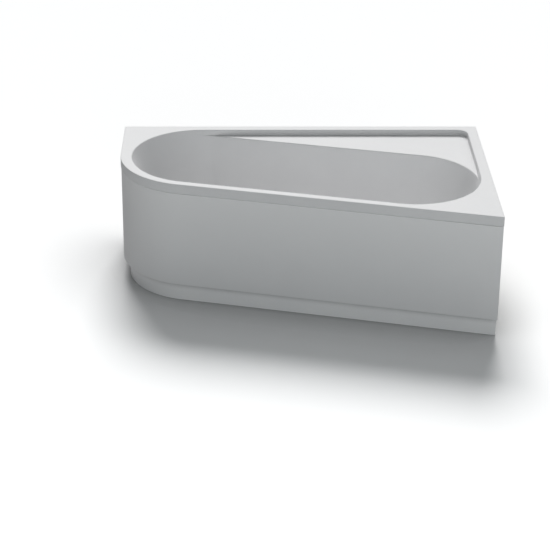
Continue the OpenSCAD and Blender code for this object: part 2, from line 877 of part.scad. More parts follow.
// Steel angles that hold the plinth to the rails' front ends
bracket_width = 30;
bracket_drop = 45;
module plinth_brackets() {
    face = panel_inset + plinth_inset + plinth_t;
    color("silver")
        front_frame()
            for (u = [left_rail_u, right_rail_u])
                at(u, 0)
                    difference() {
                        union() {
                            box([-bracket_width / 2, face, rail_z - strap_t],
                                [bracket_width / 2, bracket_screw_w + bracket_width / 3,
                                 rail_z]);
                            box([-bracket_width / 2, face, rail_z - bracket_drop],
                                [bracket_width / 2, face + strap_t, rail_z]);
                        }
                        at(0, bracket_screw_w)
                            rod(screw_r, rail_z - strap_t - over, strap_t + 2 * over);
                    }
}
// Steel straps that hold the rim to the walls: under a block, down behind the apron,
// out below it and down the wall to a screw hole
strap_width = 50;
strap_foot = 50;
wall_hole_r = 3;
wall_hole_drop = 35;
module wall_straps() {
    top = rim_under_z - block_t;
    low = rim_height - apron_height - rest_gap;
    color("silver")
        along_walls()
            difference() {
                union() {
                    box([-strap_width / 2, clip_block_w, top - strap_t],
                        [strap_width / 2, clip_block_w + wall_block_depth, top]);
                    box([-strap_width / 2, clip_block_w, low - strap_t],
                        [strap_width / 2, clip_block_w + strap_t, top]);
                    box([-strap_width / 2, 0, low - strap_t],
                        [strap_width / 2, clip_block_w + strap_t, low]);
                    box([-strap_width / 2, 0, low - strap_foot],
                        [strap_width / 2, strap_t, low]);
                }
                for (x = block_screw_xs)
                    at(x, block_screw_w)
                        rod(screw_r, top - strap_t - over, strap_t + 2 * over);
                translate([0, 0, low - wall_hole_drop])
                    rod_y(wall_hole_r, -over, strap_t + 2 * over);
            }
}
module strap_screws() {
    color("silver")
        along_walls()
            for (x = block_screw_xs)
                at(x, block_screw_w)
                    screw_up(rim_under_z - block_t, strap_t);
}

// Drain: flange, seals, plug and the lifter that raises it
seal_t = 1.5;
flange_rim = 2.5;
flange_z = drain_z - drain_step + seal_t;
flange_top = flange_z + flange_rim;
barrel_in = barrel_r - barrel_wall;
barrel_length = 34;
seat_lip = 1.5;
seat_r = barrel_r + seat_lip;
seat_angle = 45;
function seat_z(r) = flange_top - (seat_r - r) * tan(seat_angle);
spider_up = 5.5;
spider_z = flange_z - barrel_length + spider_up;
spider_h = 4;
spider_arm = 4;
hub_r = 8;
module spider(hole_r, hub, out_r, z, h, arm) {
    translate([0, 0, z])
        difference() {
            union() {
                cylinder(h = h, r = hub, $fn = 48);
                for (a = [0, 120, 240])
                    rotate([0, 0, a])
                        box([0, -arm / 2, 0], [out_r + tiny * 100, arm / 2, h]);
            }
            translate([0, 0, -over])
                cylinder(h = h + 2 * over, r = hole_r, $fn = 48);
        }
}
module drain_flange() {
    color("silver")
        drain_frame() {
            rotate_extrude($fn = 96)
                polygon([[barrel_in, flange_z - barrel_length],
                    [barrel_r, flange_z - barrel_length], [barrel_r, flange_z],
                    [drain_flange_r, flange_z], [drain_flange_r, flange_top - flange_rim / 2],
                    [drain_flange_r - flange_rim / 2, flange_top], [seat_r, flange_top],
                    [barrel_in, seat_z(barrel_in)]]);
            spider(stem_r + run_gap, hub_r, barrel_in + barrel_wall / 2, spider_z, spider_h,
                spider_arm);
        }
}
module drain_top_seal() {
    color("darkslategray")
        drain_frame()
            ring(drain_flange_r, drain_hole_r, drain_z - drain_step, seal_t);
}
lower_seal_t = 4;
body_flange_r = 42;
module drain_lower_seal() {
    color("black")
        drain_frame()
            ring(body_flange_r, drain_hole_r, floor_under_z - lower_seal_t, lower_seal_t);
}
ring_seal_r = 1.5;
ring_seal_mid = barrel_in + ring_seal_r + loose_gap;
ring_seal_z = seat_z(ring_seal_mid) + (ring_seal_r + rest_gap) / cos(seat_angle);
cap_z = ring_seal_z + ring_seal_r + loose_gap;
cap_edge = 2;
cap_crown = 3;
spigot_low = ring_seal_z - ring_seal_r;
module plug_cap() {
    dome_r = (plug_r * plug_r + cap_crown * cap_crown) / 2 / cap_crown;
    color("silver")
        drain_frame() {
            intersection() {
                rod(plug_r, cap_z, cap_edge + cap_crown + over);
                translate([0, 0, cap_z + cap_edge + cap_crown - dome_r])
                    sphere(r = dome_r, $fn = 180);
            }
            rod(ring_seal_mid - ring_seal_r - loose_gap, spigot_low, cap_z - spigot_low + tiny);
        }
}
module plug_seal() {
    color("black")
        drain_frame()
            translate([0, 0, ring_seal_z])
                rotate_extrude($fn = 96)
                    translate([ring_seal_mid, 0])
                        circle(r = ring_seal_r, $fn = 32);
}
body_flange_h = 6;
chamber_h = 48;
chamber_top = floor_under_z - lower_seal_t - body_flange_h;
chamber_z = chamber_top - chamber_h;
pivot_w = 22;
pivot_up = 18;
pivot_z = chamber_z + pivot_up;
tip_r = 5;
axle_r = 4;
stem_low = pivot_z - plug_lift / 2 + tip_r + rest_gap;
module plug_stem() {
    color("silver")
        drain_frame()
            rod(stem_r, stem_low, spigot_low - stem_low);
}
// The lifter's inner arm reaches under the stem, and its outer crank hangs in a box
// beside the chamber, where the cable pulls it to the front
lift_angle = asin(plug_lift / 2 / norm([pivot_w, plug_lift / 2]));
crank_length = 16;
crank_t = 5;
crank_r = 5;
axle_boss = 3;
box_u = chamber_r + waste_wall + axle_boss;
box_run = 12;
box_wall = 3;
box_end = 6;
box_side = 15;
box_over = 8;
box_under = 24;
crank_u = box_u + box_run / 2;
cable_z = pivot_z - crank_length;
module lifter() {
    color("dimgray")
        drain_frame()
            translate([0, pivot_w, pivot_z]) {
                rod_x(axle_r, -hub_r, box_u + box_run - over + hub_r);
                rotate([lift_angle, 0, 0])
                    box([-crank_t / 2, -norm([pivot_w, plug_lift / 2]), -crank_t / 2],
                        [crank_t / 2, 0, crank_t / 2]);
                translate([0, -pivot_w, -plug_lift / 2])
                    sphere(r = tip_r, $fn = 48);
                rotate([lift_angle, 0, 0]) {
                    box([crank_u - crank_t / 2, -axle_r, -crank_length],
                        [crank_u + crank_t / 2, axle_r, 0]);
                    translate([0, 0, -crank_length])
                        rod_x(crank_r, crank_u - crank_t / 2, crank_t);
                }
            }
}
port_up = 20;
port_z = chamber_z + port_up;
port_wall = 3;
port_r = pipe_r + port_wall;
port_reach = 21;
port_end = chamber_r + waste_wall + port_reach;
socket_depth = 14;
outlet_wall = 3;
outlet_collar = 4;
dip_z = 22;
tube_r = spigot_r;
module waste_body() {
    outer = chamber_r + waste_wall;
    color("whitesmoke")
        drain_frame()
            difference() {
                union() {
                    rod(body_flange_r, chamber_top, floor_under_z - lower_seal_t - chamber_top);
                    rod(outer, chamber_z - waste_wall, chamber_top - chamber_z + waste_wall);
                    rod(tube_r, dip_z, chamber_z - waste_wall - dip_z + tiny);
                    translate([0, 0, port_z])
                        rod_y(port_r, -port_end, port_end);
                    box([chamber_r, pivot_w - box_side, pivot_z - box_under - box_end],
                        [box_u + box_run, pivot_w + box_side, pivot_z + box_over + box_end]);
                }
                rod(barrel_r + loose_gap, chamber_top - over, barrel_length);
                rod(chamber_r, chamber_z, chamber_top - chamber_z);
                rod(tube_r - outlet_wall, dip_z - over, chamber_z - dip_z + 2 * over);
                translate([0, 0, port_z]) {
                    rod_y(pipe_r - pipe_wall, -port_end - over, port_end + over);
                    rod_y(pipe_r + loose_gap, -port_end - over, socket_depth + over);
                }
                translate([0, pivot_w, pivot_z])
                    rod_x(axle_r + run_gap, 0, box_u + over);
                box([box_u, pivot_w - box_side + box_wall, pivot_z - box_under],
                    [box_u + box_run + over, pivot_w + box_side - box_wall,
                     pivot_z + box_over]);
                translate([crank_u, 0, cable_z])
                    rod_y(wire_hole_r, pivot_w - box_side - over, box_wall + 2 * over);
                for (z = cover_screw_zs)
                    translate([0, pivot_w, z])
                        rod_x(cover_screw_r, box_u, box_run + over);
            }
}
cover_screw_r = 1.6;
cover_screw_head_r = 2.8;
cover_screw_head = 2;
cover_screw_zs = [pivot_z - box_under - box_end / 2, pivot_z + box_over + box_end / 2];
module lifter_cover() {
    color("gainsboro")
        drain_frame()
            difference() {
                box([box_u + box_run, pivot_w - box_side, pivot_z - box_under - box_end],
                    [box_u + box_run + box_wall, pivot_w + box_side,
                     pivot_z + box_over + box_end]);
                for (z = cover_screw_zs)
                    translate([0, pivot_w, z])
                        rod_x(cover_screw_r, box_u, box_run + box_wall + over);
            }
}
module cover_screws() {
    color("silver")
        drain_frame()
            for (z = cover_screw_zs)
                translate([0, pivot_w, z]) {
                    rod_x(cover_screw_r, box_u, box_run + box_wall + tiny);
                    rod_x(cover_screw_head_r, box_u + box_run + box_wall, cover_screw_head);
                }
}
// Trap: a bowl round the waste body's dip tube, with a side outlet
bowl_z = 6;
neck_wall = 4;
neck_clear = 6;
neck_r = tube_r + neck_wall;
neck_z = chamber_z - waste_wall - neck_clear;
bowl_top = bowl_z + 2 * spigot_r;
trap_wall = 4;
nut_wall = 5;
grip_out = 2;
grip_r = 3;
nut_length = 10;
nut_z = max(neck_z + outlet_wall - nut_length, bowl_top + trap_wall / 2 + loose_gap);
outlet_z = bowl_z + spigot_r;
collar_lip = 1.5;
collar_r = spigot_r + collar_lip;
collar_in = sqrt(bowl_r * bowl_r - collar_r * collar_r) - over;
module trap_bowl() {
    color("whitesmoke")
        drain_frame()
            difference() {
                union() {
                    rotate_extrude($fn = 96)
                        polygon([[0, bowl_z], [bowl_r - trap_wall, bowl_z],
                            [bowl_r, bowl_z + trap_wall], [bowl_r, bowl_top - trap_wall],
                            [neck_r, bowl_top + trap_wall / 2], [neck_r, neck_z],
                            [0, neck_z]]);
                    translate([0, 0, outlet_z]) {
                        rod_y(collar_r, collar_in, bowl_r + outlet_collar - collar_in);
                        rod_y(spigot_r, bowl_r, outlet_collar + spigot_length);
                    }
                }
                rod(bowl_r - trap_wall, bowl_z + trap_wall, bowl_top - bowl_z - 2 * trap_wall);
                rod(tube_r + 2 * loose_gap, bowl_z + trap_wall, neck_z - bowl_z);
                translate([0, 0, outlet_z])
                    rod_y(spigot_r - outlet_wall, 0,
                        bowl_r + outlet_collar + spigot_length + over);
            }
}
module trap_nut() {
    top = neck_z + outlet_wall;
    color("gainsboro")
        drain_frame()
            difference() {
                rod(neck_r + nut_wall, nut_z, top - nut_z);
                rod(neck_r + loose_gap, nut_z - over, neck_z + over - nut_z);
                rod(tube_r + loose_gap, nut_z - over, top - nut_z + 2 * over);
                for (a = [0 : 30 : 330])
                    rotate([0, 0, a])
                        translate([neck_r + nut_wall + grip_out, 0, 0])
                            rod(grip_r, nut_z - over, top - nut_z + 2 * over);
            }
}

// Overflow, in its own frame on the basin's front wall
plate_t = 2.5;
seal_in = 2;
spindle_hub = 4;
sleeve_clear = 1.5;
sleeve_r = overflow_hole_r - sleeve_clear;
sleeve_wall = 3;
sleeve_length = 16;
gasket_t = 3;
body_face = -shell_t - gasket_t;
body_flange_t = 4;
body_r = 31;
body_depth = 32;
body_wall = 4;
body_in = body_r - body_wall;
pipe_clear = 2.7;
pipe_line = body_face - pipe_clear - pipe_r;
knob_gap = 4;
knob_z = seal_t + plate_t + knob_gap;
knob_hollow_r = 22;
knob_web = 4;
knob_chamfer = 2;
knob_taper = 1;
knob_round = 3;
knob_top = knob_z + knob_height;
scallop_r = 18;
scallop_depth = 8;
module overflow_seal() {
    color("darkslategray")
        overflow_frame()
            ring(overflow_plate_r - seal_in, overflow_hole_r, 0, seal_t);
}
module overflow_plate() {
    color("silver")
        overflow_frame() {
            rotate_extrude($fn = 96)
                polygon([[sleeve_r - sleeve_wall, -sleeve_length], [sleeve_r, -sleeve_length],
                    [sleeve_r, seal_t], [overflow_plate_r, seal_t],
                    [overflow_plate_r - plate_t / 2, seal_t + plate_t],
                    [sleeve_r - sleeve_wall, seal_t + plate_t]]);
            spider(spindle_r + run_gap, spindle_r + spindle_hub, sleeve_r - sleeve_wall / 2,
                seal_t + plate_t - spider_h, spider_h, spider_arm);
        }
}
module overflow_knob() {
    color("silver")
        overflow_frame()
            difference() {
                rotate_extrude($fn = 96)
                    polygon([[0, knob_z], [knob_r - knob_chamfer, knob_z],
                        [knob_r, knob_z + knob_chamfer],
                        [knob_r - knob_taper, knob_top - knob_round],
                        [knob_r - knob_taper - knob_round, knob_top], [0, knob_top]]);
                difference() {
                    rod(knob_hollow_r, knob_z - over, knob_height - knob_web + over);
                    rod(hub_r, knob_z - 2 * over, knob_height);
                }
                rod(spindle_r, knob_z - over, knob_height - knob_web + over);
                for (s = [-1, 1])
                    translate([0, s * (knob_r + scallop_r - scallop_depth), 0])
                        rod(scallop_r, knob_z - over, knob_height + 2 * over);
            }
}
cable_x = 24.5;
crank_swing = 7.5;
crank_clear = 1;
crank_pin_r = 2.5;
module overflow_spindle() {
    low = body_face - body_depth + body_wall + crank_clear;
    color("dimgray")
        overflow_frame() {
            rod(spindle_r, low, knob_z + knob_height - knob_web - low);
            rotate([0, 0, knob_turn / 2])
                box([0, -crank_pin_r, low], [crank_swing, crank_pin_r, low + crank_t]);
            rotate([0, 0, knob_turn / 2])
                translate([crank_swing, 0, 0])
                    rod(crank_pin_r, low, crank_t + crank_pin_r);
        }
}
module overflow_gasket() {
    color("black")
        overflow_frame()
            ring(overflow_plate_r, overflow_hole_r, body_face, gasket_t);
}
body_spigot_y = 46;
cable_boss_r = 5;
wire_hole_r = 1.5;
cable_boss_y = 32;
ferrule_length = 12;
module overflow_body() {
    neck = sleeve_r + loose_gap;
    color("whitesmoke")
        overflow_frame()
            difference() {
                union() {
                    rod(overflow_plate_r, body_face - body_flange_t, body_flange_t);
                    rod(body_r, body_face - body_depth, body_depth - tiny);
                    translate([0, 0, pipe_line])
                        rod_y(pipe_r, 0, body_spigot_y);
                    translate([cable_x, 0, pipe_line])
                        rod_y(cable_boss_r, 0, cable_boss_y);
                }
                rod(body_in, body_face - body_depth + body_wall,
                    body_depth - body_wall - body_flange_t);
                rod(neck, body_face - body_flange_t - over, body_flange_t + 2 * over);
                translate([0, 0, pipe_line])
                    rod_y(pipe_r - pipe_wall, 0, body_spigot_y + over);
                translate([cable_x, 0, pipe_line])
                    rod_y(wire_hole_r, 0, cable_boss_y + over);
            }
}

// Overflow pipe: down along the wall, round a bend and in to the waste body's port.
// The bend's centre is found in the plane across the front edge, as [w, z]
function on_wall(y, z) = [
    overflow_w + y * sin(side_draft) + z * cos(side_draft),
    overflow_z - y * cos(side_draft) + z * sin(side_draft)];
function wall_run(start, bend_r, end_z) =
    (start.y - end_z - bend_r * (1 - sin(side_draft))) / cos(side_draft);
pipe_start = on_wall(body_spigot_y, pipe_line);
pipe_run = wall_run(pipe_start, pipe_bend_r, port_z);
pipe_bend_c = pipe_start + pipe_run * [sin(side_draft), -cos(side_draft)]
    + pipe_bend_r * [cos(side_draft), sin(side_draft)];
pipe_end_w = basin_w - port_end + socket_depth - over;
module pipe_profile() {
    difference() {
        circle(r = pipe_r, $fn = 64);
        circle(r = pipe_r - pipe_wall, $fn = 64);
    }
}
elbow_wall = 2.5;
elbow_socket = 14;
elbow_lip = 1.5;
module overflow_pipe() {
    color("whitesmoke") {
        overflow_frame()
            translate([0, body_spigot_y, pipe_line])
                rotate([-90, 0, 0])
                    linear_extrude(pipe_run - rest_gap)
                        pipe_profile();
        front_frame()
            translate([drain_u, pipe_bend_c.x + rest_gap, port_z])
                rotate([-90, 0, 0])
                    linear_extrude(pipe_end_w - pipe_bend_c.x - rest_gap)
                        pipe_profile();
    }
}
// Elbow whose sockets take the ends of both straight pipes
module elbow_end() {
    rotate_extrude($fn = 96)
        polygon([[pipe_r + loose_gap, -elbow_socket],
            [pipe_r + loose_gap + elbow_wall, -elbow_socket],
            [pipe_r + loose_gap + elbow_wall, elbow_lip],
            [pipe_r + loose_gap, elbow_lip]]);
}
module overflow_elbow() {
    color("gainsboro")
        front_frame()
            translate([drain_u, pipe_bend_c.x, pipe_bend_c.y])
                rotate([0, 0, 90])
                    rotate([90, 0, 0]) {
                        rotate([0, 0, 180 + side_draft])
                            rotate_extrude(angle = 90 - side_draft, $fn = 180)
                                translate([pipe_bend_r, 0])
                                    difference() {
                                        circle(r = pipe_r + loose_gap + elbow_wall / 2,
                                            $fn = 64);
                                        circle(r = pipe_r - pipe_wall, $fn = 64);
                                    }
                        rotate([0, 0, 180 + side_draft])
                            translate([pipe_bend_r, 0, 0])
                                rotate([-90, 0, 0])
                                    elbow_end();
                        rotate([0, 0, 270])
                            translate([pipe_bend_r, 0, 0])
                                rotate([90, 0, 0])
                                    elbow_end();
                    }
}
pipe_nut_wall = 3.5;
pipe_nut_r = pipe_r + pipe_nut_wall;
pipe_nut_length = 18;
port_nut_wall = 2.8;
port_nut_r = port_r + port_nut_wall;
port_nut_length = 15;
module pipe_nuts() {
    color("gainsboro") {
        overflow_frame()
            translate([0, body_spigot_y - pipe_nut_length / 2, pipe_line])
                rotate([-90, 0, 0])
                    ring(pipe_nut_r, pipe_r + loose_gap, 0, pipe_nut_length);
        drain_frame()
            translate([0, -port_end - outlet_wall, port_z])
                rotate([-90, 0, 0])
                    difference() {
                        cylinder(h = port_nut_length, r = port_nut_r, $fn = 96);
                        translate([0, 0, outlet_wall])
                            cylinder(h = port_nut_length, r = port_r + loose_gap, $fn = 96);
                        translate([0, 0, -over])
                            cylinder(h = port_nut_length, r = pipe_r + loose_gap, $fn = 96);
                    }
    }
}

// Cable's sheath: the same way down, beside the pipe, to the lifter's box
cable_bend_r = 85;
cable_sides = 10;
cable_bend_steps = 9;
cable_run_steps = 14;
cable_start = on_wall(cable_boss_y, pipe_line);
cable_run = wall_run(cable_start, cable_bend_r, cable_z);
cable_bend_c = cable_start + cable_run * [sin(side_draft), -cos(side_draft)]
    + cable_bend_r * [cos(side_draft), sin(side_draft)];
cable_end_w = basin_w + pivot_w - box_side;
function eased(t) = t * t * (3 - 2 * t);
// Each ring of the sheath: [u, w, z, direction of travel in the w-z plane]
cable_path = concat(
    [for (i = [0 : cable_run_steps])
        let (
            t = i / cable_run_steps,
            q = cable_start + t * cable_run * [sin(side_draft), -cos(side_draft)]
        )
        [cable_x + (crank_u - cable_x) * eased(t), q.x, q.y, side_draft - 90]],
    [for (i = [1 : cable_bend_steps])
        let (a = (90 - side_draft) * i / cable_bend_steps + side_draft)
        [crank_u, cable_bend_c.x - cable_bend_r * cos(a),
         cable_bend_c.y - cable_bend_r * sin(a), a - 90]],
    [[crank_u, cable_end_w, cable_z, 0]]);
module cable_sheath() {
    n = cable_sides;
    m = len(cable_path);
    color("black")
        front_frame()
            translate([drain_u, 0, 0])
                polyhedron(
                    points = [for (q = cable_path, j = [0 : n - 1])
                        let (a = 360 * j / n)
                        [q[0] + sheath_r * cos(a),
                         q[1] - sheath_r * sin(a) * sin(q[3]),
                         q[2] + sheath_r * sin(a) * cos(q[3])]],
                    faces = concat(
                        [[for (j = [0 : n - 1]) n - 1 - j]],
                        [for (i = [0 : m - 2], j = [0 : n - 1])
                            let (
                                a = i * n + j,
                                b = i * n + (j + 1) % n
                            )
                            each [[a, b, a + n], [b, b + n, a + n]]],
                        [[for (j = [0 : n - 1]) (m - 1) * n + j]]));
}
ferrule_wall = 2.4;
module cable_ferrules() {
    color("silver") {
        overflow_frame()
            translate([cable_x, cable_boss_y, pipe_line])
                rotate([-90, 0, 0])
                    ring(sheath_r + ferrule_wall / 2, sheath_r + loose_gap, 0, ferrule_length);
        drain_frame()
            translate([crank_u, pivot_w - box_side - ferrule_length, cable_z])
                rotate([-90, 0, 0])
                    ring(sheath_r + ferrule_wall, sheath_r + loose_gap, 0, ferrule_length);
    }
}

bath_shell();
rim_blocks();
baseboard();
cross_rail_left();
cross_rail_right();
shelf_post();
rail_end_caps();
frame_screws();
foot_rod_1();
foot_rod_2();
foot_rod_3();
foot_rod_4();
foot_rod_5();
foot_pad_1();
foot_pad_2();
foot_pad_3();
foot_pad_4();
foot_pad_5();
foot_nuts();
front_panel();
plinth();
panel_clips();
clip_screws();
plinth_brackets();
wall_straps();
strap_screws();
drain_flange();
drain_top_seal();
drain_lower_seal();
waste_body();
plug_cap();
plug_seal();
plug_stem();
lifter();
lifter_cover();
cover_screws();
trap_nut();
trap_bowl();
overflow_plate();
overflow_knob();
overflow_spindle();
overflow_seal();
overflow_gasket();
overflow_body();
overflow_pipe();
overflow_elbow();
pipe_nuts();
cable_sheath();
cable_ferrules();
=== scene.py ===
# Offset-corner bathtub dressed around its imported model: a smooth acrylic shell, the
# curved panel and plinth, and the cradle, waste and overflow under them. Metres, Z up.
import json
from math import acos, atan, atan2, cos, degrees, hypot, pi, radians, sin, sqrt, tan
import bmesh
import bpy
import numpy as np
from mathutils import Matrix, Vector


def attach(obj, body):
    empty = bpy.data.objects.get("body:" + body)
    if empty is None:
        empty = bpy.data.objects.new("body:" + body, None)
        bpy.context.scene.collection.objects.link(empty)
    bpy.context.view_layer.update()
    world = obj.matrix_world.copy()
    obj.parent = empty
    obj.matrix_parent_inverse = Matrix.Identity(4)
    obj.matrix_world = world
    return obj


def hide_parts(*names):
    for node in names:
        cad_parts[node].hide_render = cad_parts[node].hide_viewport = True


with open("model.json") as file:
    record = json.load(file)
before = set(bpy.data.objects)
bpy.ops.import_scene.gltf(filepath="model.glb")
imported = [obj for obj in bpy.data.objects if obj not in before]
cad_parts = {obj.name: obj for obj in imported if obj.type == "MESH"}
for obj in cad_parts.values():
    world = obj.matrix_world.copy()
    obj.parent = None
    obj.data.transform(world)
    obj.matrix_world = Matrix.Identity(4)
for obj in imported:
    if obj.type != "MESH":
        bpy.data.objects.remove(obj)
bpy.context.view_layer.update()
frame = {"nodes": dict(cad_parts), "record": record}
nodes = frame["nodes"]
mm = 0.001
tiny = 1e-6
print("frame loaded:", len(nodes), "nodes")


def camel(name):
    first, *rest = name.split("_")
    return first + "".join(word.capitalize() for word in rest)


def polar(r, a):
    return r * Vector((cos(a), sin(a)))


# Meshes: places typed in the settings are millimetres, and a mesh is in metres.

def addObject(name, data):
    holder = bpy.data.objects.new(name, data)
    bpy.context.scene.collection.objects.link(holder)
    return holder


def newObject(name, verts, faces=(), smooth=True, edges=()):
    mesh = bpy.data.meshes.new(name)
    mesh.from_pydata([tuple(v) for v in verts], edges, [tuple(f) for f in faces])
    mesh.validate()
    mesh.update()
    if smooth:
        mesh.shade_smooth()
    return addObject(name, mesh)


def bakeModifiers(piece):
    bpy.context.view_layer.update()
    shape = piece.evaluated_get(bpy.context.evaluated_depsgraph_get())
    mesh = bpy.data.meshes.new_from_object(shape)
    piece.modifiers.clear()
    old = piece.data
    piece.data = mesh
    bpy.data.meshes.remove(old)
    mesh.name = piece.name
    return piece


def cutBy(piece, *cutters):
    for cutter in cutters:
        cut = piece.modifiers.new(cutter.name, "BOOLEAN")
        cut.object = cutter
        cut.solver = "EXACT"
    bakeModifiers(piece)
    for cutter in cutters:
        bpy.data.objects.remove(cutter)
    return piece


def evenNormals(piece):
    # large faces keep their own normal, narrow ones carry the turn
    weigh = piece.modifiers.new("evenNormals", "WEIGHTED_NORMAL")
    weigh.mode = "FACE_AREA"
    weigh.weight = 100
    return bakeModifiers(piece)


def sharpen(piece, limit=35):
    piece.data.shade_smooth()
    piece.data.set_sharp_from_angle(angle=radians(limit))
    return piece


def faceOut(piece):
    # a closed shape whose faces look inwards has them turned round
    if sum(f.center.dot(f.normal) * f.area for f in piece.data.polygons) < 0:
        piece.data.flip_normals()
    return piece


def joinInto(name, *pieces):
    # one mesh under a new name; the pieces it is made of go
    merged = bmesh.new()
    for piece in pieces:
        merged.from_mesh(piece.data)
    mesh = bpy.data.meshes.new(name)
    merged.to_mesh(mesh)
    merged.free()
    for material in pieces[0].data.materials:
        mesh.materials.append(material)
    for piece in pieces:
        bpy.data.objects.remove(piece)
    return addObject(name, mesh)


def strips(count, rings, left=0):
    # quads between rings of count points that follow one another round a closed profile
    return [(i * count + j, i * count + (j + 1) % count,
             (i + 1) % rings * count + (j + 1) % count, (i + 1) % rings * count + j)
            for i in range(rings) for j in range(count - left)]


def markRings(piece, name, count, first, last):
    # an attribute that is 1 on the rings of count points from first up to last
    piece.data.attributes.new(name, "FLOAT", "POINT").data.foreach_set("value", [
        float(first <= i // count < last) for i in range(len(piece.data.vertices))])


def moveMesh(piece, matrix):
    piece.data.transform(matrix)
    return piece


def sixSided(name, corners):
    # eight corners, as one ring of four and the ring across from it
    faces = [(3, 2, 1, 0), (4, 5, 6, 7), (0, 1, 5, 4), (1, 2, 6, 5), (2, 3, 7, 6), (3, 0, 4, 7)]
    verts = [(x * mm, y * mm, z * mm) for x, y, z in corners]
    return faceOut(newObject(name, verts, faces, smooth=False))


def block(name, plan, low, high, taper=1.0):
    return sixSided(name, [(x, y, low) for x, y in plan]
                    + [(x * taper, y * taper, high) for x, y in plan])


def around(r, z, i, steps):
    # place i of steps round the Z axis
    a = 2 * pi * i / steps
    return (r * mm * cos(a), r * mm * sin(a), z * mm)


def lathe(name, profile, steps=64, limit=35):
    # profile: (radius, height) from axis to axis or round a closed ring
    verts, rows, faces = [], [], []
    for r, z in profile:
        count = steps if r > tiny else 1
        rows.append([len(verts) + i for i in range(count)])
        verts += [around(r, z, i, steps) for i in range(count)]
    if profile[0][0] > tiny:
        rows.append(rows[0])
    for a, b in zip(rows, rows[1:]):
        for i in range(steps):
            j = (i + 1) % steps
            ring = [a[i % len(a)], a[j % len(a)], b[j % len(b)], b[i % len(b)]]
            faces.append(list(dict.fromkeys(ring)))
    return sharpen(faceOut(newObject(name, verts, faces)), limit)


# Acrylic shell. A place named u runs along the slanted front edge from its right end, and
# one named w runs in from it.

shell = dict(
    length=1600, width=1000, height=560, slant=14, cornerRadius=342, smallRadius=6,
    leastRadius=0.5, apron=42, edgeRadius=3, wall=5, leftLedge=49, frontLedge=37,
    wallLedge=46, floorHeight=135, sideDraft=10, footFloor=0.41, headFloor=0.17,
    filletShare=0.3, lip=6, floorFall=3, floorWall=11, recessDepth=25, recessCorner=45,
    recessDraft=4, recessFoot=4, shelfEdge=5, recessFade=14, shelfTaper=8, taperRun=20,
    drainHole=26, drainFlange=36, drainGap=2, drainStep=3, drainEdge=0.8,
    drainEdgeDrop=0.4, overflowDepth=105, overflowHole=26, cutReach=40, cutSteps=64,
    flatStep=1, endSteps=132, sideSteps=44, leastTurn=0.02, roundSteps=7, wallSteps=6,
    filletSteps=14, floorShares=(0.33, 0.66), recessMarks=15, smallMarks=7,
)
halfLength, halfWidth = shell["length"] / 2, shell["width"] / 2
slant = radians(shell["slant"])
sideDraft = radians(shell["sideDraft"])
alongFront = Vector((cos(slant), -sin(slant)))
frontNormal = Vector((-sin(slant), -cos(slant)))
noseCentre = Vector((halfLength - shell["smallRadius"], shell["smallRadius"] - halfWidth))
frontReach = noseCentre.dot(frontNormal) + shell["smallRadius"]


def frontEdgeY(x, inset=0):
    return -(frontReach - inset + x * sin(slant)) / cos(slant)


frontY = frontEdgeY(halfLength)


def frontPoint(u, w):
    return Vector((halfLength + u * cos(slant) + w * sin(slant),
                   frontY - u * sin(slant) + w * cos(slant)))


def onFloor(u, w, z):
    p = frontPoint(u, w)
    return Vector((p.x * mm, p.y * mm, z * mm))


def frameMatrix(u, w, z, tilt=0.0):
    # a frame on the front's direction, its Z tilted about its own X
    return (Matrix.Translation(onFloor(u, w, z)) @ Matrix.Rotation(-slant, 4, "Z")
            @ Matrix.Rotation(radians(tilt), 4, "X"))


# the round ends fit between the front, back and left edges with their ledges
basinRadius = ((frontReach - shell["frontLedge"]
                - (halfLength - shell["leftLedge"]) * sin(slant)
                + (halfWidth - shell["wallLedge"]) * cos(slant))
               / (1 + cos(slant) - sin(slant)))
depth = shell["height"] - shell["floorHeight"]
fillet = basinRadius * shell["filletShare"]
wallDepth = depth - fillet
basinW = shell["frontLedge"] + basinRadius
rightU = -(shell["wallLedge"] + basinRadius + basinW * sin(slant)) / cos(slant)
leftU = (frontY + basinW * cos(slant) - halfWidth + shell["wallLedge"]
         + basinRadius) / sin(slant)
rightCentre = frontPoint(rightU, basinW)
leftCentre = frontPoint(leftU, basinW)
drainU = (rightU + leftU) / 2
drainCentre = frontPoint(drainU, basinW)
cornerU = (shell["cornerRadius"] * (1 - sin(slant)) - shell["length"]) / cos(slant)
cornerCentre = frontPoint(cornerU, shell["cornerRadius"])
overflowW = shell["frontLedge"] + shell["overflowDepth"] * tan(sideDraft)
overflowZ = shell["height"] - shell["overflowDepth"]
# square to the front wall at the overflow, with Z out through the wall
overflowFrame = frameMatrix(drainU, overflowW, overflowZ, shell["sideDraft"] - 90)


def deckSides(inset):
    return [(Vector((1, 0)), halfLength - inset), (Vector((0, 1)), halfWidth - inset),
            (Vector((-1, 0)), halfLength - inset), (frontNormal, frontReach - inset)]


def deckRadii(inset):
    small, large = [max(shell[name] - inset, shell["leastRadius"])
                    for name in ("smallRadius", "cornerRadius")]
    return [small, small, large, small]


recessSides = [(Vector((1, 0)), halfLength - shell["wallLedge"]),
               (Vector((0, 1)), halfWidth - shell["wallLedge"])]
recessRadii = [shell["recessCorner"]] * 2


def meetSides(a, b, r):
    d = a[0].x * b[0].y - a[0].y * b[0].x
    return Vector((((a[1] - r) * b[0].y - (b[1] - r) * a[0].y) / d,
                   (a[0].x * (b[1] - r) - b[0].x * (a[1] - r)) / d))


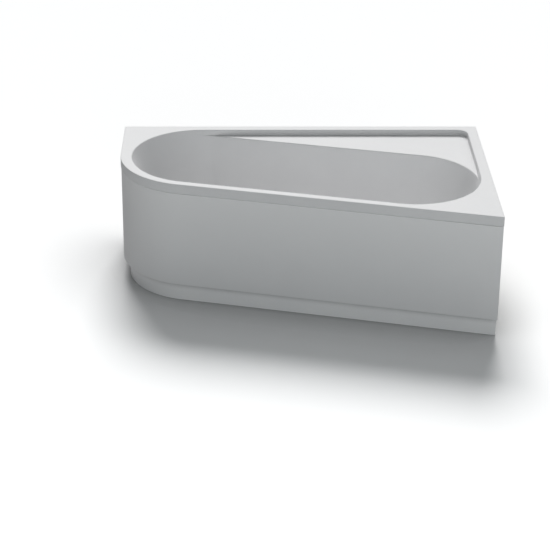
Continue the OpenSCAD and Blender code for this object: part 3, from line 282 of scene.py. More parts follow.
def reachFrom(p, n, sides, radii):
    # how far a ray from p along n runs before it leaves a rounded outline
    flat = min((s[1] - s[0].dot(p)) / s[0].dot(n) for s in sides if s[0].dot(n) > tiny)
    hit = p + flat * n
    for i, a in enumerate(sides):
        b = sides[(i + 1) % len(sides)]
        if abs(a[0].x * b[0].y - a[0].y * b[0].x) < tiny:
            continue
        c = meetSides(a, b, radii[i])
        if (hit - c).dot(meetSides(a, b, 0) - c) > radii[i] ** 2:
            m = p - c
            q = m.dot(n)
            return sqrt(max(0, q * q - m.dot(m) + radii[i] ** 2)) - q
    return flat


def deckReach(p, n, inset):
    return reachFrom(p, n, deckSides(inset), deckRadii(inset))


def cornerMarks(a, b, r, count):
    c = meetSides(a, b, r)
    first, last = atan2(a[0].y, a[0].x), atan2(b[0].y, b[0].x)
    if last < first:
        last += 2 * pi
    return [c + polar(r, t) for t in np.linspace(first, last, count)]


def bearingFrom(c, p):
    a = degrees(atan2(p.y - c.y, p.x - c.x))
    return a + 360 if a < -90 - shell["slant"] - tiny else a


def steppedAngles(first, last, steps, marks):
    gap = (last - first) / steps / 3
    kept = [a for a in marks if first + gap < a < last - gap]
    even = [a for a in np.linspace(first, last, steps + 1)
            if a in (first, last) or all(abs(m - a) >= gap for m in kept)]
    angles = []
    for a in sorted(even + kept):
        if not angles or a - angles[-1] > shell["leastTurn"]:
            angles.append(a)
    return angles


def filletInset(draft):
    return wallDepth * tan(draft) + fillet / cos(draft)


def draftAt(n):
    # the floor ends in half ellipses, so the drafts are what meets them
    q = n.dot(alongFront)
    end = basinRadius * (shell["footFloor"] if q > 0 else shell["headFloor"])
    side = basinRadius - filletInset(sideDraft)
    inner = basinRadius - 1 / sqrt(q * q / end ** 2 + (1 - q * q) / side ** 2)
    return acos(fillet / hypot(inner, wallDepth)) - atan2(wallDepth, inner)


def draftsAt(n, gap):
    # the wall's draft and fillet, its lip's draft and the share of the shelf that is there
    draft = draftAt(n)
    k = min(1, gap / shell["recessFade"])
    return (draft, filletInset(draft),
            draft + k * (radians(shell["recessDraft"]) - draft), k)


def basinStation(c, angle, recessed):
    n = polar(1, radians(angle))
    p = c + basinRadius * n
    gap = max(0, reachFrom(p, n, recessSides, recessRadii)) if recessed else 0
    return p, n, gap


def basinStations():
    deck = deckSides(0)
    small = shell["smallRadius"], shell["smallMarks"]
    marks = (cornerMarks(*recessSides, shell["recessCorner"], shell["recessMarks"])
             + cornerMarks(deck[0], deck[1], *small) + cornerMarks(deck[3], deck[0], *small))
    rightMarks = [0] + [bearingFrom(rightCentre, p) for p in marks]
    marks = (cornerMarks(deck[1], deck[2], *small)
             + cornerMarks(deck[2], deck[3], shell["cornerRadius"], 2))
    leftMarks = [90] + [bearingFrom(leftCentre, p) for p in marks]
    back, front = 90 - shell["slant"], 270 - shell["slant"]
    side = basinRadius - filletInset(sideDraft)
    span = atan((rightU - leftU) / 2 / side)
    shares = [(1 + tan(span * (2 * i / shell["sideSteps"] - 1)) / tan(span)) / 2
              for i in range(1, shell["sideSteps"])]
    found = [basinStation(rightCentre, a, a > 0)
             for a in steppedAngles(front - 360, back, shell["endSteps"], rightMarks)]
    found += [basinStation(rightCentre.lerp(leftCentre, t), back, True) for t in shares]
    found += [basinStation(leftCentre, a, a < 90)
              for a in steppedAngles(back, front, shell["endSteps"], leftMarks)]
    found += [basinStation(leftCentre.lerp(rightCentre, t), front, False) for t in shares]
    return found


def shellSection(station):
    # one closed section: offset out from the basin's plan, and depth under the rim
    p, n, gap = station
    draft, inner, lipDraft, k = draftsAt(n, gap)
    turn = [pi / 2 * i / shell["roundSteps"] for i in range(shell["roundSteps"] + 1)]
    lip, foot, edge = shell["lip"], shell["recessFoot"], shell["shelfEdge"]
    section = [(deckReach(p, n, 0), shell["apron"])]
    for a in turn:
        inset = shell["edgeRadius"] * (1 - cos(a))
        section.append((deckReach(p, n, inset), shell["edgeRadius"] * (1 - sin(a))))
    inset = shell["edgeRadius"] + shell["flatStep"]
    section.append((deckReach(p, n, inset), 0))
    lipOut = gap - lip * tan(lipDraft)
    section.append((lipOut + lip + shell["flatStep"], 0))
    section += [(lipOut + lip * (1 - sin(a)), lip * (1 - cos(a))) for a in turn]
    for a in turn:
        d = shell["recessDepth"] - foot * (1 - sin(a))
        section.append((gap - d * tan(lipDraft) - k * foot * (1 - cos(a)), d))
    for i, a in enumerate(turn):
        fall = (1 - k) * (i + 1) / len(turn) + k * (1 - cos(a))
        d = shell["recessDepth"] + edge * fall
        section.append((k * edge * (1 - sin(a)) - d * tan(draft), d))
    top, steps = shell["recessDepth"] + edge, shell["wallSteps"]
    downs = [top + (wallDepth - top) * i / steps for i in range(1, steps)]
    section += [(-d * tan(draft), d) for d in downs]
    for i in range(shell["filletSteps"] + 1):
        a = draft + (pi / 2 - draft) * i / shell["filletSteps"]
        section.append((fillet * cos(a) - inner, depth - fillet * (1 - sin(a))))
    return section


def shellUnderside(station):
    p, n, gap = station
    draft, inner, lipDraft, k = draftsAt(n, gap)
    wall = shell["wall"]
    section = []
    for i in range(shell["filletSteps"] + 1):
        a = pi / 2 - (pi / 2 - draft) * i / shell["filletSteps"]
        thick = wall + (shell["floorWall"] - wall) * (a - draft) / (pi / 2 - draft)
        section.append(((fillet + wall) * cos(a) - inner,
                        depth - fillet * (1 - sin(a)) + thick * sin(a)))
    high = shell["recessDepth"] + wall
    low = high + shell["shelfTaper"]
    bend = high + (1 - k) * shell["shelfTaper"] / 2
    section.append((wall / cos(draft) - low * tan(draft), low))
    section.append((min(gap / 2, shell["taperRun"]) + wall / cos(draft)
                    - bend * tan(draft), bend))
    for d in (high, wall):
        section.append((gap + wall / cos(lipDraft) - d * tan(lipDraft), d))
    back = deckReach(p, n, wall)
    return section + [(back, wall), (back, shell["apron"])]


def drainRing(stations, r, z):
    ring = []
    for p, n, gap in stations:
        e = (p - filletInset(draftAt(n)) * n - drainCentre).normalized()
        ring.append((drainCentre.x + r * e.x, drainCentre.y + r * e.y, z))
    return ring


def buildShell():
    stations = basinStations()
    upper = [shellSection(s) for s in stations]
    lower = [shellUnderside(s) for s in stations]

    def ringOf(sections, i):
        ring = []
        for s, section in zip(stations, sections):
            q = s[0] + section[i][0] * s[1]
            ring.append((q.x, q.y, shell["height"] - section[i][1]))
        return ring

    drainZ = shell["height"] - depth - shell["floorFall"]
    underZ = shell["height"] - depth - shell["floorWall"]
    rings = [ringOf(upper, i) for i in range(len(upper[0]))]
    flange, gap, step = shell["drainFlange"], shell["drainGap"], shell["drainStep"]
    floorRing = np.array(rings[-1])
    outer = np.array(drainRing(stations, flange + gap * 2, drainZ))
    for share in shell["floorShares"]:
        rings.append([tuple(v) for v in floorRing * (1 - share) + outer * share])
    rings.append([tuple(v) for v in outer])
    rings.append(drainRing(stations, flange + gap + shell["drainEdge"],
                           drainZ - shell["drainEdgeDrop"]))
    rings.append(drainRing(stations, flange + gap, drainZ - step))
    rings.append(drainRing(stations, shell["drainHole"], drainZ - step))
    rings.append(drainRing(stations, shell["drainHole"], underZ))
    rings += [ringOf(lower, i) for i in range(len(lower[0]))]
    verts = [Vector(v) * mm for ring in rings for v in ring]
    n, m = len(stations), len(rings)
    piece = newObject("acrylicShell", verts, [(a, d, c, b) for a, b, c, d in strips(n, m)])
    # the glass fibre that backs the sheet shows on the underside alone
    markRings(piece, "backing", n, m - len(lower[0]) - 1, m - 3)
    return piece


def cutOverflow(piece):
    # the hole where the overflow's sleeve goes through the front wall
    r, steps, reach = shell["overflowHole"], shell["cutSteps"], shell["cutReach"]
    turn = [2 * pi * i / steps for i in range(steps)]
    verts = [overflowFrame @ (Vector((r * cos(a), r * sin(a), z)) * mm)
             for z in (-reach, reach) for a in turn]
    faces = [(i, (i + 1) % steps, steps + (i + 1) % steps, steps + i) for i in range(steps)]
    faces += [tuple(reversed(range(steps))), tuple(range(steps, 2 * steps))]
    return evenNormals(cutBy(piece, newObject("overflowCutter", verts, faces, smooth=False)))


acrylicShell = cutOverflow(buildShell())
print("shell:", len(acrylicShell.data.polygons), "faces")


# Front panel and plinth.

panel = dict(inset=2, thick=4, joint=2, fold=20, bottom=86, edge=2, arcSteps=72)
plinth = dict(inset=30, thick=8, top=86, endGap=10, rightGap=3, edge=1, edgeSteps=3)


def planPath(g, endGap, rightGap):
    # the rim's front and left edges, a distance g in from them
    right = halfLength - rightGap
    path = [Vector((right, frontEdgeY(right, g)))]
    for i in range(panel["arcSteps"] + 1):
        a = radians(270 - shell["slant"] - (90 - shell["slant"]) * i / panel["arcSteps"])
        path.append(cornerCentre + polar(shell["cornerRadius"] - g, a))
    path.append(Vector((g - halfLength, halfWidth - endGap)))
    return path


def sweepWall(name, profile, endGap, rightGap):
    # profile: closed list of (distance in from the rim's edge, height)
    rings = [planPath(g, endGap, rightGap) for g, z in profile]
    count, turns = len(rings[0]), len(profile)
    verts = [(q.x * mm, q.y * mm, profile[i][1] * mm) for i in range(turns) for q in rings[i]]
    ends = [[i * count for i in range(turns)],
            [i * count + count - 1 for i in reversed(range(turns))]]
    return faceOut(newObject(name, verts, strips(count, turns, 1) + ends))


def roundedCorner(g, z, r, first, steps=5):
    turn = [radians(first + 90 * i / steps) for i in range(steps + 1)]
    return [(g + r * cos(a), z + r * sin(a)) for a in turn]


def buildPanel():
    g, t = panel["inset"], panel["thick"]
    top = shell["height"] - shell["apron"] - panel["joint"]
    low, r = panel["bottom"], panel["edge"]
    back = g + panel["fold"]
    foot = plinth["inset"] + plinth["thick"] + t
    topEdge = roundedCorner(g + r, top - r, r, 90)
    profile = roundedCorner(g + r, low + r, r, 180)
    profile += [(foot, low), (foot, low + t), (g + t, low + t), (g + t, top - t),
                (back, top - t), (back, top)]
    sheet = sweepWall("panelSheet", profile + topEdge, g, g)
    right = halfLength - g
    rightEnd = [(x, frontEdgeY(x, inset)) for x, inset in (
        (right - t, g + t), (right, g + t), (right, back), (right - t, back))]
    left, end = g + t - halfLength, halfWidth - g
    wide = back - g - t
    leftEnd = [(left, end - t), (left + wide, end - t), (left + wide, end), (left, end)]
    piece = joinInto("curvedPanel", sheet, block("panelEnd", rightEnd, low + t, top - t),
                     block("panelEnd", leftEnd, low + t, top - t))
    # the upper edge, which the finish paints with a highlight
    markRings(piece, "edge", panel["arcSteps"] + 3, len(profile),
              len(profile) + len(topEdge))
    return evenNormals(piece)


def buildPlinth():
    g, t, r, top = plinth["inset"], plinth["thick"], plinth["edge"], plinth["top"]
    profile = [point for x, z, start in ((g + r, r, 180), (g + t - r, r, 270),
                                         (g + t - r, top - r, 0), (g + r, top - r, 90))
               for point in roundedCorner(x, z, r, start, plinth["edgeSteps"])]
    return evenNormals(sweepWall("curvedPlinth", profile, plinth["endGap"],
                                 plinth["rightGap"]))


curvedPanel = buildPanel()
curvedPlinth = buildPlinth()
print("panel and plinth built")


# Node trees.

def addNode(tree, kind, given=None, **settings):
    # given: for a socket's name or number, its value or the output that feeds it
    node = tree.nodes.new(kind)
    for name, value in settings.items():
        setattr(node, name, value)
    for socket, value in (given or {}).items():
        if isinstance(value, bpy.types.NodeSocket):
            tree.links.new(value, node.inputs[socket])
        else:
            node.inputs[socket].default_value = value
    return node


def calc(tree, operation, *values):
    return addNode(tree, "ShaderNodeMath", dict(enumerate(values)),
                   operation=operation).outputs["Value"]


def splitPlace(tree, place):
    return addNode(tree, "ShaderNodeSeparateXYZ", {"Vector": place}).outputs


def remap(tree, value, low, high, toLow=0.0, toHigh=1.0):
    return addNode(tree, "ShaderNodeMapRange", {
        "Value": value, "From Min": low, "From Max": high, "To Min": toLow,
        "To Max": toHigh}).outputs["Result"]


def blend(tree, kind, factor, first, second):
    return addNode(tree, "ShaderNodeMix", {"Factor": factor, "A": first, "B": second},
                   data_type=kind).outputs["Result"]


# Finishes, from noise on object coordinates, with painted shade in some corners and a painted
# highlight on the panel's upper edge.
# A row has the keys' values in their order, and then what is not usual.
finishKeys = ("base", "other", "scale", "roughness", "wear", "wearScale", "wearShare")
finishUsual = dict(
    specular=0.5, metallic=0.0, bump=0.0, stretch=(1, 1, 1), wearStretch=(1, 1, 1),
)
finishRows = dict(
    acrylic=((0.9, 0.9, 0.905), (0.915, 0.915, 0.918), 6, (0.44, 0.52), (0.86, 0.86, 0.86),
        55, 0.25, dict(specular=0.2, wearStretch=(1, 8, 8))),
    panelAcrylic=((0.855, 0.855, 0.86), (0.87, 0.87, 0.875), 5, (0.46, 0.54),
        (0.84, 0.84, 0.84), 40, 0.25, dict(specular=0.2, wearStretch=(1, 1, 9))),
    plinthBoard=((0.95, 0.95, 0.955), (0.97, 0.97, 0.97), 8, (0.46, 0.54),
        (0.88, 0.87, 0.86), 60, 0.3, dict(specular=0.2, wearStretch=(1, 1, 12))),
    plywood=((0.62, 0.45, 0.27), (0.75, 0.6, 0.42), 18, (0.6, 0.75), (0.45, 0.32, 0.19),
        90, 0.6, dict(stretch=(1, 6, 30), bump=0.3, wearStretch=(1, 5, 5))),
    particleBoard=((0.5, 0.38, 0.25), (0.72, 0.6, 0.43), 320, (0.7, 0.85),
        (0.34, 0.24, 0.15), 420, 0.8, dict(bump=0.4)),
    zincSteel=((0.5, 0.51, 0.52), (0.62, 0.63, 0.64), 45, (0.32, 0.5), (0.72, 0.72, 0.7),
        160, 0.5, dict(metallic=1.0)),
    screwSteel=((0.62, 0.62, 0.63), (0.72, 0.72, 0.73), 90, (0.22, 0.36), (0.5, 0.47, 0.42),
        260, 0.5, dict(metallic=1.0)),
    blackPlastic=((0.02, 0.02, 0.02), (0.03, 0.03, 0.03), 400, (0.45, 0.6),
        (0.07, 0.07, 0.065), 150, 0.5, dict(bump=0.1)),
    clipPlastic=((0.74, 0.74, 0.72), (0.78, 0.78, 0.76), 30, (0.4, 0.5), (0.66, 0.65, 0.62),
        120, 0.5),
    chromeTrim=((0.6, 0.61, 0.62), (0.63, 0.64, 0.65), 12, (0.06, 0.11), (0.68, 0.68, 0.67),
        210, 0.35, dict(metallic=1.0)),
    sealRubber=((0.025, 0.025, 0.025), (0.04, 0.04, 0.04), 300, (0.7, 0.85),
        (0.09, 0.09, 0.085), 180, 0.4, dict(bump=0.15)),
    footRubber=((0.03, 0.03, 0.03), (0.055, 0.055, 0.055), 200, (0.7, 0.85),
        (0.14, 0.135, 0.125), 110, 0.6, dict(bump=0.2)),
    whitePlastic=((0.72, 0.72, 0.71), (0.76, 0.76, 0.75), 40, (0.35, 0.48),
        (0.62, 0.6, 0.55), 70, 0.5),
    greyPlastic=((0.24, 0.25, 0.26), (0.28, 0.29, 0.3), 60, (0.4, 0.52), (0.36, 0.36, 0.35),
        130, 0.5),
    cablePlastic=((0.02, 0.02, 0.022), (0.035, 0.035, 0.035), 200, (0.4, 0.5),
        (0.08, 0.08, 0.08), 240, 0.4),
    castMetal=((0.55, 0.42, 0.2), (0.65, 0.52, 0.28), 120, (0.35, 0.5), (0.4, 0.3, 0.16),
        200, 0.6, dict(metallic=1.0, bump=0.15)),
)
pattern = dict(detail=3, low=0.4, high=0.6, bumpDistance=0.0005)
wear = dict(detail=5, low=0.56, high=0.68, duller=0.2)
layers = dict(tone=(0.5, 0.35, 0.2), height=0.0026, low=0.42, high=0.58, share=0.7)
# painted shade: the acrylic darkens in its own inner corners and creases, and the plinth board
# near its top, under the panel's overhang
cornerShades = dict(
    acrylic=dict(local=True, reach=0.05, full=0.5, share=0.45, tone=(0.45, 0.45, 0.45)),
    plinthBoard=dict(
        local=False, reach=0.045, full=0.55, share=1.0, tone=(0.38, 0.38, 0.38), above=0.055),
)
# how the painted shade fades in from open surfaces
shadeMask = dict(open=0.95, soft=0.01, samples=8)
# painted highlight: the colour the panel's upper edge is painted
panelEdgeHighlight = (1.0, 1.0, 1.0)
backing = dict(
    base=(0.66, 0.63, 0.54), other=(0.8, 0.78, 0.7), scale=26, cloudLow=0.35, cloudHigh=0.65,
    strands=190, strandStretch=(1, 0.3, 1), strandLow=0.4, strandHigh=0.6, roughness=0.7,
    bump=0.5, bumpDistance=0.001,
)


def objectPlace(tree):
    return addNode(tree, "ShaderNodeTexCoord").outputs["Object"]


def noiseOf(tree, scale, stretch, detail):
    size = addNode(tree, "ShaderNodeMapping", {"Vector": objectPlace(tree), "Scale": stretch})
    return addNode(tree, "ShaderNodeTexNoise", {
        "Vector": size.outputs["Vector"], "Scale": scale, "Detail": detail}).outputs["Fac"]


def marked(tree, name):
    return addNode(tree, "ShaderNodeAttribute", attribute_name=name).outputs["Fac"]


def addBump(tree, surface, height, strength, distance):
    bump = addNode(tree, "ShaderNodeBump", {"Height": height, "Strength": strength,
                                            "Distance": distance})
    tree.links.new(bump.outputs["Normal"], surface.inputs["Normal"])


def lay(tree, surface, socketName, factor, value):
    # what the surface has in a socket goes over to value where factor is 1
    socket = surface.inputs[socketName]
    color = socket.type == "RGBA"
    before = socket.links[0].from_socket if socket.is_linked else socket.default_value
    if color and not isinstance(value, bpy.types.NodeSocket):
        value = (*value, 1)
    tree.links.new(blend(tree, "RGBA" if color else "FLOAT", factor, before, value), socket)


def addPattern(tree, surface, settings):
    # two colours in soft patches, with the roughness and the relief that go with them
    noise = noiseOf(tree, settings["scale"], settings["stretch"], pattern["detail"])
    ramp = addNode(tree, "ShaderNodeValToRGB", {"Fac": noise})
    for stop, at, color in zip(ramp.color_ramp.elements, ("low", "high"), ("base", "other")):
        stop.position = pattern[at]
        stop.color = (*settings[color], 1)
    tree.links.new(ramp.outputs["Color"], surface.inputs["Base Color"])
    tree.links.new(remap(tree, noise, 0, 1, *settings["roughness"]),
                   surface.inputs["Roughness"])
    if settings["bump"]:
        addBump(tree, surface, noise, settings["bump"], pattern["bumpDistance"])


def addWear(tree, surface, settings):
    # worn or dusty spots and streaks, duller than the rest
    noise = noiseOf(tree, settings["wearScale"], settings["wearStretch"], wear["detail"])
    mask = remap(tree, noise, wear["low"], wear["high"], 0, settings["wearShare"])
    lay(tree, surface, "Base Color", mask, settings["wear"])
    lay(tree, surface, "Roughness", mask, min(settings["roughness"][1] + wear["duller"], 1.0))


def addLayers(tree, surface):
    # darker plies at a steady height
    wave = calc(tree, "PINGPONG", splitPlace(tree, objectPlace(tree))["Z"], layers["height"])
    mask = remap(tree, wave, layers["height"] * layers["low"],
                 layers["height"] * layers["high"], 0, layers["share"])
    lay(tree, surface, "Base Color", mask, layers["tone"])


def addCornerShade(tree, surface, crease):
    # painted shade: the base colour darkens in inner corners, where shade falls; with a height
    # given, only above it, as on the plinth board under the panel's overhang
    near = addNode(tree, "ShaderNodeAmbientOcclusion", {"Distance": crease["reach"]},
                   samples=shadeMask["samples"], only_local=crease["local"])
    factor = remap(tree, near.outputs["AO"], shadeMask["open"], crease["full"], 0,
                   crease["share"])
    if "above" in crease:
        z, soft = splitPlace(tree, objectPlace(tree))["Z"], shadeMask["soft"]
        rise = remap(tree, z, crease["above"] - soft, crease["above"] + soft)
        factor = calc(tree, "MULTIPLY", rise, factor)
    lay(tree, surface, "Base Color", factor, crease["tone"])


def addBacking(tree, surface):
    # sprayed glass fibre under the sheet, cream coloured, rough and full of short strands
    under = marked(tree, "backing")
    cloud = remap(tree, noiseOf(tree, backing["scale"], (1, 1, 1), wear["detail"]),
                  backing["cloudLow"], backing["cloudHigh"])
    lay(tree, surface, "Base Color", under,
        blend(tree, "RGBA", cloud, (*backing["base"], 1), (*backing["other"], 1)))
    lay(tree, surface, "Roughness", under, backing["roughness"])
    strands = remap(tree, noiseOf(tree, backing["strands"], backing["strandStretch"],
                                  wear["detail"]), backing["strandLow"], backing["strandHigh"])
    addBump(tree, surface, calc(tree, "MULTIPLY", strands, under), backing["bump"],
            backing["bumpDistance"])


def buildFinish(name, *row):
    settings = {**finishUsual, **dict(zip(finishKeys, row)), **dict(*row[len(finishKeys):])}
    finish = bpy.data.materials.new(name)
    finish.use_nodes = True
    finish.diffuse_color = (*settings["base"], 1)
    tree = finish.node_tree
    surface = tree.nodes["Principled BSDF"]
    surface.inputs["Metallic"].default_value = settings["metallic"]
    surface.inputs["Specular IOR Level"].default_value = settings["specular"]
    addPattern(tree, surface, settings)
    if name == "plywood":
        addLayers(tree, surface)
    addWear(tree, surface, settings)
    # painted shade in inner corners and under the panel's overhang
    if name in cornerShades:
        addCornerShade(tree, surface, cornerShades[name])
    if name == "acrylic":
        addBacking(tree, surface)
    # painted highlight along the panel's upper edge
    if name == "panelAcrylic":
        lay(tree, surface, "Base Color", marked(tree, "edge"), panelEdgeHighlight)
    return finish


def paint(piece, finish):
    piece.data.materials.clear()
    piece.data.materials.append(finish)


def done(piece, body, slotName, *replaced):
    if not piece.data.materials:
        paint(piece, finishes[camel(slotName)])
    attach(piece, body)
    for node in replaced:
        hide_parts(node)


finishes = {name: buildFinish(name, *row) for name, row in finishRows.items()}
slotOf = {part["node"]: part["material_slot"] for part in frame["record"]["subparts"]}
for node, slotName in slotOf.items():
    paint(nodes[node], finishes[camel(slotName)])
print("finishes:", len(finishes))

done(acrylicShell, "bath", "acrylic", "bath_shell")
done(curvedPanel, "bath", "panel_acrylic", "front_panel")
done(curvedPlinth, "bath", "plinth_board", "plinth")


# Trees for what repeats, winds or follows a route.

def newTree(name, **inputs):
    tree = bpy.data.node_groups.new(name, "GeometryNodeTree")
    for label, kind in {"Geometry": "Geometry", **inputs}.items():
        tree.interface.new_socket(label, in_out="INPUT", socket_type="NodeSocket" + kind)
    tree.interface.new_socket("Geometry", in_out="OUTPUT", socket_type="NodeSocketGeometry")
    return tree, tree.nodes.new("NodeGroupInput").outputs


def finishTree(tree, given, shape, smooth=False):
    # every tree ends the same way: real geometry in one material
    last = addNode(tree, "GeometryNodeRealizeInstances", {"Geometry": shape})
    if smooth:
        last = addNode(tree, "GeometryNodeSetShadeSmooth",
                       {"Geometry": last.outputs["Geometry"]})
    last = addNode(tree, "GeometryNodeSetMaterial", {
        "Geometry": last.outputs["Geometry"], "Material": given["Finish"]})
    addNode(tree, "NodeGroupOutput", {"Geometry": last.outputs["Geometry"]})
    return tree


def grow(piece, tree, finish, **values):
    values["Finish"] = finishes[finish]
    made = piece.modifiers.new(tree.name, "NODES")
    made.node_group = tree
    for item in tree.interface.items_tree:
        if item.item_type == "SOCKET" and item.name in values:
            made[item.identifier] = values[item.name]
    return bakeModifiers(piece)


def instanceOf(tree, thing):
    return addNode(tree, "GeometryNodeObjectInfo",
                   {"Object": thing, "As Instance": True}).outputs["Geometry"]


def turnAboutZ(tree, angle):
    euler = addNode(tree, "ShaderNodeCombineXYZ", {"Z": angle}).outputs["Vector"]
    return addNode(tree, "FunctionNodeEulerToRotation", {"Euler": euler}).outputs["Rotation"]


def scatter(tree, points, thing, rotation, size=(1, 1, 1)):
    return addNode(tree, "GeometryNodeInstanceOnPoints", {
        "Points": points, "Instance": thing, "Rotation": rotation,
        "Scale": size}).outputs["Instances"]


def bearingOf(tree):
    place = addNode(tree, "GeometryNodeInputPosition").outputs["Position"]
    split = splitPlace(tree, place)
    return split, calc(tree, "ARCTAN2", split["Y"], split["X"])


def buildScatterTree():
    # one piece on every point, its Z along the point's aim and turned at random about it
    tree, given = newTree("placeOnPoints", Piece="Object", Turn="Float", Seed="Int",
                          Finish="Material")
    aim, size = [addNode(tree, "GeometryNodeInputNamedAttribute", {"Name": name},
                         data_type=kind).outputs["Attribute"]
                 for name, kind in (("aim", "FLOAT_VECTOR"), ("size", "FLOAT"))]
    align = addNode(tree, "FunctionNodeAlignRotationToVector", {"Vector": aim}, axis="Z")
    # the random node's inputs 2 and 3 are its least and most, and its output 1 a number
    chance = addNode(tree, "FunctionNodeRandomValue", {3: given["Turn"], "Seed": given["Seed"]},
                     data_type="FLOAT").outputs[1]
    turn = addNode(tree, "FunctionNodeRotateRotation", {
        "Rotation": align.outputs["Rotation"], "Rotate By": turnAboutZ(tree, chance)},
        rotation_space="LOCAL").outputs["Rotation"]
    return finishTree(tree, given, scatter(tree, given["Geometry"],
                                           instanceOf(tree, given["Piece"]), turn, size))


def buildRibTree():
    # ribs round the Z axis, joined to the turned body that they stand on
    tree, given = newTree("ribsRound", Rib="Object", Count="Int", Radius="Float",
                          Finish="Material")
    circle = addNode(tree, "GeometryNodeMeshCircle", {
        "Vertices": given["Count"], "Radius": given["Radius"]}).outputs["Mesh"]
    ribs = scatter(tree, circle, instanceOf(tree, given["Rib"]),
                   turnAboutZ(tree, bearingOf(tree)[1]))
    both = addNode(tree, "GeometryNodeJoinGeometry", {"Geometry": given["Geometry"]})
    tree.links.new(ribs, both.inputs["Geometry"])
    return finishTree(tree, given, both.outputs["Geometry"])


def buildThreadTree():
    # a rod whose sides are drawn in along a helix, and whose ends taper
    tree, given = newTree("threadedRod", Radius="Float", Depth="Float", Pitch="Float",
                          Length="Float", Taper="Float", Sides="Int", Rows="Int",
                          Finish="Material")
    endShare = 0.2

    def by(operation, *values):
        return calc(tree, operation, *values)

    rod = addNode(tree, "GeometryNodeMeshCylinder", {
        "Vertices": given["Sides"], "Side Segments": given["Rows"],
        "Radius": given["Radius"], "Depth": given["Length"]}).outputs["Mesh"]
    split, angle = bearingOf(tree)
    height = by("ADD", split["Z"], by("MULTIPLY", given["Length"], 0.5))
    turns = by("SUBTRACT", by("DIVIDE", height, given["Pitch"]),
               by("DIVIDE", angle, 2 * pi))
    cut = by("MULTIPLY", by("MULTIPLY", by("PINGPONG", turns, 0.5), 2),
             by("DIVIDE", given["Depth"], given["Radius"]))
    toEnd = by("MINIMUM", height, by("SUBTRACT", given["Length"], height))
    cone = by("MAXIMUM", by("SUBTRACT", 1, by("DIVIDE", toEnd, given["Taper"])), 0)
    share = by("SUBTRACT", by("SUBTRACT", 1, cut), by("MULTIPLY", cone, endShare))
    moved = addNode(tree, "ShaderNodeCombineXYZ", {
        "X": by("MULTIPLY", split["X"], share), "Y": by("MULTIPLY", split["Y"], share),
        "Z": height}).outputs["Vector"]
    wound = addNode(tree, "GeometryNodeSetPosition", {"Geometry": rod, "Position": moved})
    return finishTree(tree, given, wound.outputs["Geometry"], smooth=True)


def buildTubeTree():
    # a round tube along the route that the mesh's edges draw
    tree, given = newTree("tubeOnRoute", Radius="Float", Sides="Int", Finish="Material")
    route = addNode(tree, "GeometryNodeMeshToCurve", {"Mesh": given["Geometry"]})
    ring = addNode(tree, "GeometryNodeCurvePrimitiveCircle", {
        "Radius": given["Radius"], "Resolution": given["Sides"]})
    swept = addNode(tree, "GeometryNodeCurveToMesh", {
        "Curve": route.outputs["Curve"], "Profile Curve": ring.outputs["Curve"],
        "Fill Caps": True})
    return finishTree(tree, given, swept.outputs["Mesh"], smooth=True)


scatterTree, ribTree = buildScatterTree(), buildRibTree()
threadTree, tubeTree = buildThreadTree(), buildTubeTree()
print("node trees built")


def strew(name, places, shape, seed, node):
    # a steel shape at each (point in metres, aim, size), which stands in for a CAD node
    points = newObject(name, [p for p, aim, size in places], smooth=False)
    points.data.attributes.new("aim", "FLOAT_VECTOR", "POINT")
    points.data.attributes.new("size", "FLOAT", "POINT")
    aim, size = points.data.attributes["aim"], points.data.attributes["size"]
    for i, (p, direction, scale) in enumerate(places):
        aim.data[i].vector = direction
        size.data[i].value = scale
    grow(points, scatterTree, "screwSteel", Piece=shape, Turn=2 * pi, Seed=seed)
    done(points, "bath", "screw_steel", node)


def helper(piece):
    # a shape that only trees use; it leaves the scene at the end
    helpers.append(piece)
    return piece


helpers = []
up = Vector((0, 0, 1))


def threaded(name, settings):
    sizes = {key.capitalize(): settings[key] * mm
             for key in ("radius", "depth", "pitch", "length", "taper")}
    return grow(newObject(name, [(0, 0, 0)]), threadTree, "screwSteel",
                Sides=settings["sides"], Rows=settings["rows"], **sizes)


def ribShape(name, ends):
    # for both ends the lower and the upper edge, each as (x, half width, z)
    return sixSided(name, [(x, side * half, z) for low, high in ends
                           for (x, half, z), side in ((low, -1), (low, 1), (high, 1),
                                                      (high, -1))])


def addRibs(piece, rib, count, radius, finish):
    grow(piece, ribTree, finish, Rib=rib, Count=count, Radius=radius * mm)
    bpy.data.objects.remove(rib)
    return piece


def copyOf(name, piece):
    copy = addObject(name, piece.data.copy())
    copy.data.name = name
    return copy


# Where the cradle, the clips and the straps stand. Numbers under 1 are shares: of the
# basin's radius for the cradle, and of stretches along the bath's sides for the fixings.

cradle = dict(
    leftRail=45, rightRail=0.13, frontFoot=110, backFoot=564.523, board=0.9, boardTop=105,
    boardScrew=28, postTop=508, postScrew=25, frontScrew=85, frontTop=75,
    coverScrew=(56, 22), coverHeights=(57, 95), coverSize=0.64,
)
fixing = dict(
    height=534, pair=12, clipIn=15, firstClip=0.27, clips=(0.25, 0.66), strapIn=20, strap=0.2,
)
railU = {"left": cornerU + cradle["leftRail"],
         "right": rightU - basinRadius * cradle["rightRail"]}
backWallW = (halfWidth - frontY + railU["right"] * sin(slant)) / cos(slant)
postW = (basinW + basinRadius + backWallW) / 2
boardWide = 2 * cradle["board"] * (basinRadius - filletInset(sideDraft))
boardW = [basinW - boardWide / 3, basinW + boardWide / 3]
clipU = [rightU * fixing["firstClip"]]
clipU += [rightU + (leftU - rightU) * share for share in fixing["clips"]]
footW = [cradle["frontFoot"], cradle["backFoot"]]
footAt = [(railU[side], w) for side in ("left", "right") for w in footW]
footAt.append((railU["right"], postW))


# Screws.

